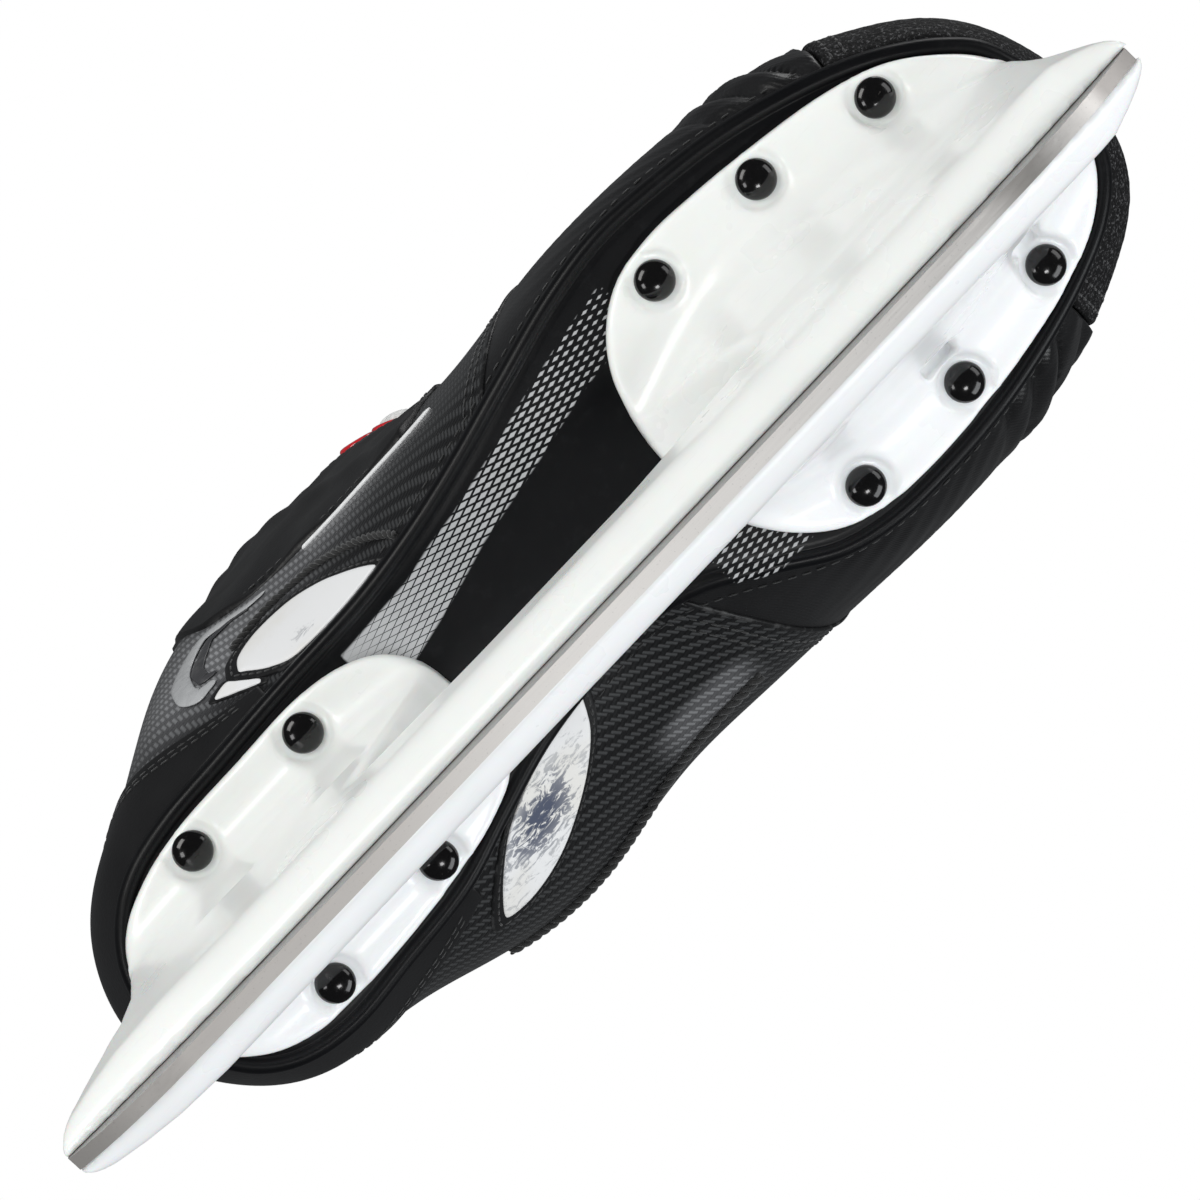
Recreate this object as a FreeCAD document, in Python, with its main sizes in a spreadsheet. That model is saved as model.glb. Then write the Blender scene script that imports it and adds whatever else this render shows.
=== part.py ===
import FreeCAD, Part
import Sketcher
import math
import os
from FreeCAD import Placement, Rotation, Vector

# Right-foot ice hockey skate: steel runner, runner holder, riveted sole and laced boot.
# +X to the toe, +Y to the inner (medial) side, -Y to the outer (lateral) side, +Z up.
# Origin on the ice at the middle of the steel runner. Millimetres.

CELLS = [
    # steel runner
    ("runner_thick", 3.0), ("runner_half", 141.8), ("runner_top", 18.6), ("flat_half", 20.0),
    ("rocker_radius", 2743.0), ("rocker_end_front", 107.0), ("rocker_end_rear", 112.0),
    ("tip_rise", 12.5), ("tang_front_x", 96.0), ("tang_rear_x", -96.0), ("tang_wide", 12.0),
    ("tang_top", 26.5),
    # runner holder
    ("plate_thick", 4.0), ("front_plate_z", 54.0), ("rear_plate_z", 62.0), ("holder_half", 9.1),
    ("holder_lip", 6.8), ("bridge_top", 28.0), ("slot_gap", 0.12),
    # sole layers
    ("outsole_thick", 4.0), ("board_thick", 2.0), ("footbed_thick", 4.5), ("wide", 130.0),
    ("board_inset", 4.4), ("footbed_inset_front", 6.5), ("footbed_inset_rear", 10.5),
    # rivets
    ("rivet_head_rad", 4.0), ("rivet_head_high", 1.9), ("rivet_shank_rad", 1.9),
    ("rivet_hole_rad", 2.05), ("recess_rad", 5.5), ("recess_deep", 0.8), ("washer_rad", 5.0),
    ("washer_thick", 0.8), ("washer_bore", 2.0), ("tail_rad", 2.9), ("tail_high", 0.9),
    # runner bolts
    ("bolt_rad", 2.5), ("bolt_bore", 2.75), ("nut_flats", 8.0), ("nut_high", 4.6),
    ("nut_bore", 2.56), ("bolt_washer_rad", 6.0), ("bolt_washer_thick", 1.0),
    ("access_rad", 7.5),
    # boot: overlay and liner sizes are distances from the master surface
    ("shell_thick", 2.0), ("overlay_low", 0.12), ("overlay_high", 0.95), ("liner_out", 2.15),
    ("liner_in", 7.4), ("tongue_thick", 7.0), ("guard_thick", 6.0), ("guard_rise", 27.0),
    ("eyelet_rad", 4.6), ("eyelet_barrel", 3.0), ("eyelet_bore", 2.2), ("eyelet_high", 0.9),
    ("lace_wide", 6.5), ("lace_thick", 1.5),
]

doc = FreeCAD.newDocument("ice_skate")
sheet = doc.addObject("Spreadsheet::Sheet", "Sizes")
for i, (alias, value) in enumerate(CELLS, start=1):
    sheet.set(f"A{i}", alias)
    sheet.set(f"B{i}", str(value))
    sheet.setAlias(f"B{i}", alias)
doc.recompute()


def size(alias):
    return float(sheet.get(alias))


# ---------------------------------------------------------------- plan outlines, (x, y)
SOLE = [
    (135.0, 4.9), (133.3, -5.5), (130.2, -15.8), (124.7, -22.3), (117.2, -28.1), (109.7, -32.4),
    (97.9, -37.2), (82.4, -41.7), (66.9, -44.2), (51.4, -45.4), (36.0, -43.6), (16.6, -38.9),
    (1.2, -34.7), (-14.4, -31.2), (-30.0, -29.0), (-53.4, -28.4), (-72.9, -27.5),
    (-88.5, -26.7), (-100.2, -24.3), (-108.0, -20.2), (-115.0, -13.2), (-118.9, -4.5),
    (-120.3, 4.2), (-116.9, 15.5), (-111.9, 23.0), (-104.1, 28.2), (-92.4, 30.7),
    (-76.0, 29.6), (-57.3, 27.8), (-41.7, 23.3), (-26.1, 19.2), (-8.6, 16.9), (6.0, 16.7),
    (16.6, 20.0), (28.2, 27.2), (39.8, 34.6), (51.4, 37.8), (66.0, 38.5), (82.4, 37.6),
    (97.9, 34.9), (111.8, 31.0), (122.5, 26.3), (130.0, 20.0), (133.6, 13.0),
]
FRONT_PLATE = [
    (28.9, -4.9), (30.1, -13.0), (33.0, -22.6), (39.0, -30.4), (47.4, -35.6), (58.0, -37.2),
    (70.0, -36.5), (85.0, -34.6), (101.0, -31.6), (112.9, -27.4), (122.0, -20.6),
    (128.3, -12.2), (131.0, -2.0), (130.6, 8.0), (127.4, 17.2), (120.6, 23.6), (109.1, 28.5),
    (93.6, 31.8), (78.2, 33.6), (63.0, 34.1), (51.2, 32.9), (43.0, 29.6), (36.5, 24.0),
    (32.0, 17.4), (29.2, 8.0),
]
REAR_PLATE = [
    (-30.9, -2.8), (-31.8, -10.6), (-35.7, -17.6), (-42.5, -21.7), (-53.2, -23.9),
    (-70.0, -23.7), (-88.2, -23.1), (-99.8, -20.8), (-108.5, -16.8), (-114.3, -10.0),
    (-116.9, 3.0), (-114.0, 14.0), (-107.6, 20.8), (-98.0, 24.7), (-86.0, 25.5), (-70.0, 24.8),
    (-55.0, 23.1), (-44.0, 20.7), (-35.5, 16.9), (-31.9, 11.0), (-30.6, 4.0),
]

PLATE = size("plate_thick")
FRONT_Z, REAR_Z = size("front_plate_z"), size("rear_plate_z")
# Rivet and bolt axes, (x, y, underside of the plate they go through)
FRONT_RIVETS = [(x, y, FRONT_Z) for x, y in (
    (52.6, -30.3), (80.1, -29.6), (107.3, -23.8), (52.4, 27.1), (80.1, 27.1), (107.3, 22.8))]
REAR_RIVETS = [(x, y, REAR_Z) for x, y in (
    (-57.4, -18.3), (-88.7, -18.0), (-57.5, 18.2), (-88.7, 20.2))]
RIVETS = FRONT_RIVETS + REAR_RIVETS
FRONT_BOLT = (size("tang_front_x"), 0, FRONT_Z)
REAR_BOLT = (size("tang_rear_x"), 0, REAR_Z)
BOLTS = [FRONT_BOLT, REAR_BOLT]

# ---------------------------------------------------------------- shared helpers
NODES = {}


def node(obj, name):
    """Label an object and list it for export."""
    obj.Label = name
    NODES[name] = obj


def feature(name, shape):
    obj = doc.addObject("Part::Feature", name)
    obj.Shape = shape
    obj.Placement = Placement()
    return obj


def shape_node(name, shape):
    node(feature(name + "_shape", shape), name)


def largest_solid(shape):
    return max(shape.Solids, key=lambda solid: solid.Volume)


def smooth01(t):
    t = min(1.0, max(0.0, t))
    return t * t * (3 - 2 * t)


def closed_spline(points, z):
    curve = Part.BSplineCurve()
    curve.interpolate(Points=[Vector(x, y, z) for x, y in points], PeriodicFlag=True)
    return curve


def open_spline(points):
    curve = Part.BSplineCurve()
    curve.interpolate(Points=points)
    return curve


def attached_sketch(body, name, plane_role):
    sketch = body.newObject("Sketcher::SketchObject", name)
    plane = [o for o in body.Origin.OriginFeatures if o.Role == plane_role][0]
    sketch.AttachmentSupport = [(plane, "")]
    sketch.MapMode = "FlatFace"
    return sketch


def add_polygon(sketch, points):
    count = len(points)
    for i in range(count):
        sketch.addGeometry(Part.LineSegment(points[i], points[(i + 1) % count]), False)
    for i in range(count):
        sketch.addConstraint(Sketcher.Constraint("Coincident", i, 2, (i + 1) % count, 1))


# ---------------------------------------------------------------- fastener masters
def cell(alias):
    """A sketch dimension bound to a cell: (expression, value)."""
    return "Sizes." + alias, size(alias)


def pin_vertex(sketch, index, kind, axis, dimension, label):
    """Fix one coordinate of a vertex; dimension is a number or (expression, value)."""
    expression, value = dimension if isinstance(dimension, tuple) else (None, dimension)
    if abs(value) < 1e-9:
        sketch.addConstraint(Sketcher.Constraint("PointOnObject", index, 1, axis))
        return
    constraint = sketch.addConstraint(Sketcher.Constraint(kind, -1, 1, index, 1, value))
    sketch.renameConstraint(constraint, label)
    if expression:
        sketch.setExpression("Constraints." + label, expression)


def turned_body(name, vertices):
    """A turned piece from its half profile of (radius, height) on the XZ plane."""
    body = doc.addObject("PartDesign::Body", name)
    sketch = attached_sketch(body, name + "_profile", "XZ_Plane")
    plain = [[d[1] if isinstance(d, tuple) else d for d in vertex] for vertex in vertices]
    add_polygon(sketch, [Vector(radius, height, 0) for radius, height in plain])
    for i, (radius, height) in enumerate(vertices):
        pin_vertex(sketch, i, "DistanceX", -2, radius, f"rad{i}")
        pin_vertex(sketch, i, "DistanceY", -1, height, f"high{i}")
    turn = body.newObject("PartDesign::Revolution", name + "_turn")
    turn.Profile = sketch
    turn.ReferenceAxis = (sketch, ["V_Axis"])
    turn.Angle = 360.0
    body.Tip = turn
    return body


def rivet_body():
    """Domed head below z = 0, shank through the stack, flattened tail on top."""
    head = size("rivet_head_high")
    grip = (PLATE - size("recess_deep") + size("outsole_thick") + size("board_thick")
            + size("washer_thick"))
    grip_text = ("Sizes.plate_thick - Sizes.recess_deep + Sizes.outsole_thick"
                 " + Sizes.board_thick + Sizes.washer_thick")
    tail_end = (grip_text + " + Sizes.tail_high", grip + size("tail_high"))
    return turned_body("rivet_master", [
        (0.0, ("-Sizes.rivet_head_high", -head)),
        (1.7, -head * 0.93), (2.9, -head * 0.72), (3.7, -head * 0.36),
        (cell("rivet_head_rad"), 0.0),
        (cell("rivet_shank_rad"), 0.0),
        (cell("rivet_shank_rad"), (grip_text, grip)),
        (cell("tail_rad"), grip + 0.05), (cell("tail_rad"), grip + 0.45),
        (1.6, tail_end),
        (0.0, tail_end),
    ])


def washer_body(name, bore, rim, thick):
    return turned_body(name, [(cell(bore), 0.0), (cell(rim), 0.0),
                              (cell(rim), cell(thick)), (cell(bore), cell(thick))])


def nut_body():
    """Hexagonal nut with a plain bore."""
    body = doc.addObject("PartDesign::Body", "nut_master")
    sketch = attached_sketch(body, "nut_hexagon", "XY_Plane")
    corner = size("nut_flats") / math.sqrt(3)
    angles = [math.radians(60 * i) for i in range(6)]
    add_polygon(sketch, [Vector(corner * math.cos(a), corner * math.sin(a), 0) for a in angles])
    bore = size("nut_bore")
    sketch.addGeometry(Part.Circle(Vector(0, 0, 0), Vector(0, 0, 1), bore), False)
    sketch.addConstraint(Sketcher.Constraint("Coincident", 6, 3, -1, 1))
    constraint = sketch.addConstraint(Sketcher.Constraint("Radius", 6, bore))
    sketch.renameConstraint(constraint, "bore")
    sketch.setExpression("Constraints.bore", "Sizes.nut_bore")
    pad = body.newObject("PartDesign::Pad", "nut_pad")
    pad.Profile = sketch
    pad.setExpression("Length", "Sizes.nut_high")
    body.Tip = pad
    return body


rivet_master = rivet_body()
washer_master = washer_body("washer_master", "washer_bore", "washer_rad", "washer_thick")
bolt_washer_master = washer_body("bolt_washer_master", "bolt_bore", "bolt_washer_rad",
                                 "bolt_washer_thick")
nut_master = nut_body()
doc.recompute()


# ---------------------------------------------------------------- runner
def rocker_rise(x):
    """Height of the lower edge above the ice."""
    return max(0.0, abs(x) - size("flat_half")) ** 2 / (2 * size("rocker_radius"))


def runner_outline(grow):
    """Side outline of the steel as a chain of curves; grow is the clearance around it."""
    flat, tip = size("flat_half"), size("tip_rise")
    top, half = size("runner_top") + grow, size("runner_half") + grow
    tang_half, tang_top = size("tang_wide") / 2 + grow, size("tang_top") + grow

    def end_points(side, rocker_end):
        # start, middle and end points of three arcs, from the flat to the shoulder
        middle = (flat + rocker_end) / 2
        rise = rocker_rise(rocker_end)
        points = [(flat, 0), (middle, rocker_rise(middle)), (rocker_end, rise),
                  (rocker_end + 0.58 * (half - rocker_end), rise + 0.31 * (tip - rise)),
                  (half, tip), (half + 0.2, tip + 2.4), (half - 3.2, top)]
        return [Vector(side * x, z, 0) for x, z in points]

    def three_arcs(points):
        return [Part.Arc(*points[i:i + 3]) for i in (0, 2, 4)]

    front = end_points(1, size("rocker_end_front"))
    rear = end_points(-1, size("rocker_end_rear"))
    upper = [front[-1]]
    for x in (size("tang_front_x"), size("tang_rear_x")):
        upper += [Vector(x + tang_half, top, 0), Vector(x + tang_half, tang_top, 0),
                  Vector(x - tang_half, tang_top, 0), Vector(x - tang_half, top, 0)]
    upper.append(rear[-1])
    return ([Part.LineSegment(rear[0], front[0])] + three_arcs(front)
            + [Part.LineSegment(a, b) for a, b in zip(upper, upper[1:])]
            + three_arcs(rear[::-1]))


def make_runner():
    body = doc.addObject("PartDesign::Body", "runner")
    sketch = attached_sketch(body, "runner_side", "XZ_Plane")
    for curve in runner_outline(0.0):
        sketch.addGeometry(curve, False)
    pad = body.newObject("PartDesign::Pad", "runner_pad")
    pad.Profile = sketch
    pad.setExpression("Length", "Sizes.runner_thick")
    pad.Midplane = True
    body.Tip = pad
    node(body, "runner")


make_runner()

# ---------------------------------------------------------------- sole layers
BAND_REAR, BAND_FRONT = -135.0, 150.0   # x range of the side profiles
PLAN_Z = 40.0                           # height the plan outlines are raised from
HOLE_LOW, HOLE_HIGH = 50, 90
BED_GAP = 0.1                           # between insole board and footbed
RELIEF_DEEP = 2.0                       # reliefs in the underside of the footbed
RIVET_RELIEF_RAD, BOLT_RELIEF_RAD = 5.6, 8.0


def sole_low(x):
    """Underside of the outsole: low under the forefoot, raised under the heel."""
    low, high = FRONT_Z + PLATE, REAR_Z + PLATE
    return low + (high - low) * smooth01((29.0 - x) / 59.0)


def bed_inset(x):
    front, rear = size("footbed_inset_front"), size("footbed_inset_rear")
    return front + (rear - front) * smooth01((55.0 - x) / 60.0)


def inset(points, amount):
    """Move each point of a closed outline inwards by amount(x), square to its neighbours."""
    count = len(points)
    area = sum(points[i][0] * points[(i + 1) % count][1]
               - points[(i + 1) % count][0] * points[i][1] for i in range(count))
    sign = 1.0 if area > 0 else -1.0
    moved = []
    for i, (x, y) in enumerate(points):
        x0, y0 = points[i - 1]
        x1, y1 = points[(i + 1) % count]
        dx, dy = x1 - x0, y1 - y0
        step = sign * amount(x) / math.hypot(dx, dy)
        moved.append((x - dy * step, y + dx * step))
    return moved


def extrude(name, sketch, direction, symmetric):
    block = doc.addObject("Part::Extrusion", name)
    block.Base = sketch
    block.DirMode = "Custom"
    block.Dir = direction
    block.setExpression("LengthFwd", "Sizes.wide")
    block.Solid = True
    block.Symmetric = symmetric
    return block


def band_sketch(name, lift, thick):
    """Side profile of a layer that starts at lift above the underside of the outsole."""
    sketch = doc.addObject("Sketcher::SketchObject", name)
    sketch.Placement = Placement(Vector(0, 0, 0), Rotation(Vector(1, 0, 0), 90))
    xs = [BAND_REAR + (BAND_FRONT - BAND_REAR) * i / 48.0 for i in range(49)]
    low = [Vector(x, sole_low(x) + lift, 0) for x in xs]
    high = [Vector(x, sole_low(x) + lift + thick, 0) for x in reversed(xs)]
    sketch.addGeometry(open_spline(low), False)
    sketch.addGeometry(Part.LineSegment(low[-1], high[0]), False)
    sketch.addGeometry(open_spline(high), False)
    sketch.addGeometry(Part.LineSegment(high[-1], low[0]), False)
    return sketch


def cylinders(name, spots):
    """One compound of upright cylinders: (x, y, z low, z high, radius)."""
    return feature(name, Part.makeCompound(
        [Part.makeCylinder(radius, high - low, Vector(x, y, low))
         for x, y, low, high, radius in spots]))


def boolean(kind, name, base, tool):
    obj = doc.addObject("Part::" + kind, name)
    obj.Base, obj.Tool = base, tool
    return obj


def sole_layer(name, prefix, outline, lift, thick, tool_name, spots):
    """Plan outline crossed with a side band, then drilled."""
    plan = doc.addObject("Sketcher::SketchObject", prefix + "_plan")
    plan.Placement = Placement(Vector(0, 0, PLAN_Z), Rotation())
    plan.addGeometry(closed_spline(outline, 0.0), False)
    block = extrude(prefix + "_block", plan, Vector(0, 0, 1), False)
    band = band_sketch(prefix + "_band", lift, thick)
    band_block = extrude(prefix + "_band_block", band, Vector(0, 1, 0), True)
    raw = boolean("Common", prefix + "_raw", block, band_block)
    node(boolean("Cut", prefix + "_cut", raw, cylinders(tool_name, spots)), name)


OUTSOLE, BOARD = size("outsole_thick"), size("board_thick")
BED_LIFT = OUTSOLE + BOARD + BED_GAP
hole_spots = [(x, y, HOLE_LOW, HOLE_HIGH, size("rivet_hole_rad")) for x, y, z in RIVETS]
hole_spots += [(x, y, HOLE_LOW, HOLE_HIGH, size("access_rad")) for x, y, z in BOLTS]
relief_spots = [(x, y, HOLE_LOW, z + PLATE + BED_LIFT + RELIEF_DEEP, radius)
                for spots, radius in ((RIVETS, RIVET_RELIEF_RAD), (BOLTS, BOLT_RELIEF_RAD))
                for x, y, z in spots]
sole_layer("outsole", "sole", SOLE, 0.0, OUTSOLE, "sole_holes", hole_spots)
sole_layer("insole_board", "board", inset(SOLE, lambda x: size("board_inset")),
           OUTSOLE, BOARD, "board_holes", hole_spots)
sole_layer("footbed", "footbed", inset(SOLE, bed_inset),
           BED_LIFT, size("footbed_thick"), "footbed_reliefs", relief_spots)

# ---------------------------------------------------------------- runner holder
# Loft sections: (rear x, front x, lateral reach, medial reach, side exponent, z).
# A smaller side exponent gives blunter ends.
HALF = size("holder_half")
FRONT_TOWER = [
    (29.5, 141.5, 9.3, 9.4, 0.42, 20.0), (29.5, 137.0, 10.2, 10.2, 0.45, 28.0),
    (29.5, 133.0, 12.0, 11.6, 0.5, 38.0), (29.6, 130.0, 16.0, 15.0, 0.55, 48.0),
    (30.0, 128.0, 22.0, 20.0, 0.6, 54.5),
]
REAR_TOWER = [
    (-140.0, -31.0, 9.3, 9.4, 0.42, 20.0), (-131.0, -31.0, 9.9, 10.0, 0.45, 30.0),
    (-124.0, -31.2, 11.0, 11.0, 0.5, 42.0), (-119.0, -31.4, 12.6, 12.6, 0.5, 54.0),
    (-115.5, -31.8, 13.6, 14.0, 0.5, 62.5),
]
BRIDGE = [
    (-143.0, 143.2, 3.6, 3.6, 0.3, 5.0), (-143.0, 143.4, 4.0, 4.0, 0.3, 7.5),
    (-143.2, 143.6, HALF, HALF + 0.2, 0.36, 16.0), (-141.0, 142.0, HALF, HALF, 0.4, 21.0),
    (-130.0, 136.0, HALF - 0.6, HALF - 0.6, 0.4, size("bridge_top")),
]
# Hollows in the towers, open towards the boot
FRONT_CORE = [
    (40.0, 84.0, 5.5, 5.5, 0.5, 32.0), (38.0, 86.0, 8.4, 8.0, 0.5, 42.0),
    (37.0, 86.0, 13.0, 12.0, 0.5, 50.0), (36.0, 86.0, 17.0, 15.5, 0.5, 60.0),
]
REAR_CORE = [
    (-84.0, -40.0, 5.5, 5.5, 0.5, 33.0), (-86.0, -38.0, 7.4, 7.4, 0.5, 44.0),
    (-86.0, -37.0, 9.4, 9.4, 0.5, 56.0), (-86.0, -37.0, 10.4, 10.4, 0.5, 68.0),
]


def lens(x0, x1, lateral, medial, exponent):
    """Long closed plan section, blunt at both ends."""
    middle, half = (x0 + x1) / 2.0, (x1 - x0) / 2.0
    points = []
    for i in range(28):
        angle = math.pi * i / 14
        cosine, sine = math.cos(angle), math.sin(angle)
        x = middle + half * math.copysign(abs(cosine) ** 0.9, cosine)
        y = (medial if sine >= 0 else -lateral) * abs(sine) ** exponent
        points.append((x, y))
    return points


def spline_wire(points, z):
    return Part.Wire([closed_spline(points, z).toShape()])


def loft(sections):
    return Part.makeLoft([spline_wire(lens(*row[:5]), row[5]) for row in sections], True, False)


def plate(outline, z):
    return Part.Face(spline_wire(outline, z)).extrude(Vector(0, 0, PLATE))


def runner_slot():
    gap, thick = size("slot_gap"), size("runner_thick")
    edges = [curve.toShape() for curve in runner_outline(gap)]
    slot = Part.Face(Part.Wire(Part.__sortEdges__(edges))).extrude(Vector(0, 0, thick + 2 * gap))
    slot.translate(Vector(0, 0, -thick / 2 - gap))
    slot.rotate(Vector(0, 0, 0), Vector(1, 0, 0), 90)
    return slot


def below_lip():
    """Everything under the holder's lower edge, which rises towards both ends."""
    reach, bottom = 146, -5
    lip = []
    for i in range(61):
        x = -reach + 2 * reach * i / 60.0
        beyond = max(0.0, abs(x) - 88.0) / 55.0
        lip.append(Vector(x, 0, size("holder_lip") + 6.6 * beyond ** 1.7))
    rear, front = lip[0], lip[-1]
    rear_low, front_low = Vector(rear.x, 0, bottom), Vector(front.x, 0, bottom)
    wire = Part.Wire([open_spline(lip).toShape(), Part.makeLine(front, front_low),
                      Part.makeLine(front_low, rear_low), Part.makeLine(rear_low, rear)])
    block = Part.Face(wire).extrude(Vector(0, 60, 0))
    block.translate(Vector(0, -30, 0))
    return block


def make_holder():
    solid = plate(FRONT_PLATE, FRONT_Z).fuse(
        [plate(REAR_PLATE, REAR_Z), loft(FRONT_TOWER), loft(REAR_TOWER), loft(BRIDGE)])
    tools = [loft(FRONT_CORE), loft(REAR_CORE), runner_slot(), below_lip()]
    for x, y, z in RIVETS:
        tools.append(Part.makeCylinder(size("rivet_hole_rad"), 20, Vector(x, y, z - 8)))
        tools.append(Part.makeCylinder(size("recess_rad"), size("recess_deep") + 14,
                                       Vector(x, y, z - 14)))
    for x, y, z in BOLTS:
        tools.append(Part.makeCylinder(size("bolt_bore"), 80, Vector(x, y, 0)))
    for tool in tools:
        solid = solid.cut(tool)
    shape_node("runner_holder", largest_solid(solid.removeSplitter()))


make_holder()

# ---------------------------------------------------------------- fasteners in place
BOLT_PROUD = 0.25    # bolt end above its nut


def place_one(name, master, x, y, z):
    obj = feature(name + "_shape", master.Shape.copy())
    obj.Placement = Placement(Vector(x, y, z), Rotation())
    node(obj, name)


def place_many(name, master, spots, lift):
    copies = []
    for x, y, z in spots:
        copy = master.Shape.copy()
        copy.Placement = Placement(Vector(x, y, z + lift), Rotation())
        copies.append(copy)
    shape_node(name, Part.makeCompound(copies))


def make_bolt(end, x, y, plate_z):
    """Bolt standing on the runner's tang, with washer and nut on the plate."""
    washer_z = plate_z + PLATE
    nut_z = washer_z + size("bolt_washer_thick")
    bolt = doc.addObject("Part::Cylinder", end + "_bolt_shank")
    bolt.setExpression("Radius", "Sizes.bolt_rad")
    bolt.Height = nut_z + size("nut_high") + BOLT_PROUD - size("tang_top")
    bolt.Placement = Placement(Vector(x, y, size("tang_top")), Rotation())
    node(bolt, end + "_hook_bolt")
    place_one(end + "_bolt_washer", bolt_washer_master, x, y, washer_z)
    place_one(end + "_lock_nut", nut_master, x, y, nut_z)


make_bolt("front", *FRONT_BOLT)
make_bolt("rear", *REAR_BOLT)
place_many("front_rivets", rivet_master, FRONT_RIVETS, size("recess_deep"))
place_many("rear_rivets", rivet_master, REAR_RIVETS, size("recess_deep"))
place_many("rivet_washers", washer_master, RIVETS, PLATE + OUTSOLE + BOARD)

# ---------------------------------------------------------------- boot: one master surface
# Each column holds six (x, y, z) points from the sole edge (row 0) to the top edge (row 5).
# Columns run from the heel (0) along the outer side to the toe (14) and back along the
# inner side.
GRID = [
    # heel
    [(-118.5, 3.8, 70), (-123.5, 4.0, 80), (-124.5, 4.0, 95),
     (-116.5, 4.2, 140), (-107.5, 4.3, 180), (-107.5, 4.4, 210)],
    # outer side
    [(-113, -12.6, 70), (-116.5, -15.2, 80), (-117, -15.0, 97),
     (-110, -10.8, 140), (-102.5, -9.0, 180), (-102, -8.5, 208)],
    [(-99, -22.8, 70), (-101, -27.2, 80), (-102, -26.2, 98),
     (-98, -22.5, 140), (-93, -20.5, 180), (-92, -20, 204)],
    [(-78, -26, 70), (-79, -31.5, 80), (-80, -36.6, 98),
     (-80, -35, 138), (-76, -32, 178), (-74, -31.5, 200)],
    [(-55, -27.2, 70), (-55, -31.5, 80), (-56, -37.2, 100),
     (-56, -40.4, 140), (-53, -37.8, 180), (-50, -36, 201)],
    [(-33, -27.8, 69.9), (-33, -32, 80), (-33, -37.4, 100),
     (-31, -40.6, 138), (-25, -38.2, 182), (-20, -35, 208)],
    [(-12, -31, 68.1), (-12, -35.5, 78), (-12, -39.0, 98),
     (-9.5, -39.2, 132), (-4, -36.5, 170), (1, -29.5, 192)],
    [(10, -36, 64.8), (10, -40, 74), (10, -41.1, 94),
     (11, -39.6, 122), (13.5, -33, 151), (16.5, -22.5, 166)],
    [(35, -42.2, 62), (35, -45.2, 73), (35, -45.3, 91),
     (35, -40, 112), (35.5, -28, 131), (36, -18.5, 140)],
    [(58, -44.3, 62), (58, -47.0, 72), (58, -45.4, 89),
     (58, -38, 106), (57.5, -25, 118.5), (57, -14, 124)],
    [(80, -41.2, 62), (80, -44.7, 71), (80, -43.6, 87),
     (79, -34, 103), (78, -18.5, 112), (76, -7.5, 115)],
    [(98, -36.4, 62), (98.5, -40.6, 70), (98, -40.3, 85),
     (94.5, -31, 100), (91, -13.5, 108.6), (87, 4, 111)],
    [(113, -30.0, 62), (115, -33.2, 70), (114, -32.2, 84),
     (109.5, -24.5, 97.5), (103.5, -10.5, 106.3), (97, 4.2, 109.5)],
    [(128, -18, 62), (131, -19.0, 70), (130.3, -18.1, 84),
     (124.5, -13, 97), (115.5, -4.5, 104.6), (104, 4.3, 108.4)],
    # toe
    [(134.0, 4.6, 62), (137.6, 5.0, 70), (137.2, 5.2, 84),
     (131.5, 5.0, 97), (122.0, 4.6, 104.5), (108.0, 4.3, 108)],
    # inner side
    [(129.3, 19.5, 62), (132.3, 24.0, 70), (131.6, 26.6, 84),
     (125, 20, 97), (116, 12.6, 104.6), (104, 4.3, 108.4)],
    [(114.5, 28.5, 62), (116, 34.6, 70), (115.6, 38.2, 84),
     (110.5, 31, 97.5), (104, 18.8, 106.3), (97, 4.2, 109.5)],
    [(98, 33.5, 62), (98.5, 40.5, 70), (98.5, 45.2, 85),
     (95, 38, 100), (91, 21.5, 108.6), (87, 4, 111)],
    [(80, 36.6, 62), (80, 44.0, 71), (80, 48.4, 87),
     (79, 41.5, 103), (78, 26.5, 112), (76, 15.5, 115)],
    [(58, 37.0, 62), (58, 45.0, 72), (58, 49.2, 89),
     (58, 44.5, 106), (57.5, 33, 118.5), (57, 22.5, 124)],
    [(35, 30.5, 62), (35, 40.5, 73), (35, 48.7, 91),
     (35, 47.5, 112), (35.5, 37, 131), (36, 27, 140)],
    [(10, 16.6, 64.8), (10, 30.5, 74), (10, 46.7, 93),
     (11, 49, 120), (13.5, 42.5, 150), (16.5, 31, 166)],
    [(-12, 16.0, 68.1), (-12, 30.5, 77), (-12, 46.8, 97),
     (-9.5, 49.6, 128), (-4, 45.5, 170), (1, 37, 192)],
    [(-33, 19.4, 69.9), (-33, 33, 79), (-33, 49.2, 99),
     (-31, 51.6, 130), (-25, 47.0, 182), (-20, 43.5, 208)],
    [(-55, 26.0, 70), (-55, 36, 80), (-56, 48.3, 99),
     (-56, 50.6, 132), (-53, 46, 180), (-50, 44, 201)],
    [(-78, 28.4, 70), (-79, 35, 80), (-80, 41.6, 97),
     (-80, 43.5, 134), (-76, 40.5, 178), (-74, 40, 200)],
    [(-99, 28, 70), (-101, 33.4, 80), (-102, 35.0, 95),
     (-98, 31.5, 140), (-93, 29, 180), (-92, 28.5, 204)],
    [(-113, 20, 70), (-116.5, 22.8, 80), (-117, 23.3, 97),
     (-110, 19.5, 140), (-102.5, 17.5, 180), (-102, 17, 208)],
]
COLUMNS, ROWS = len(GRID), 6
TOE, TOP = 14.0, 5.0                     # toe column, top row
CREST_START, CREST_END = 10.9, 17.1      # columns whose two sides meet above the toes
PAD = 6                                  # columns repeated past each end of the wrap


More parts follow.
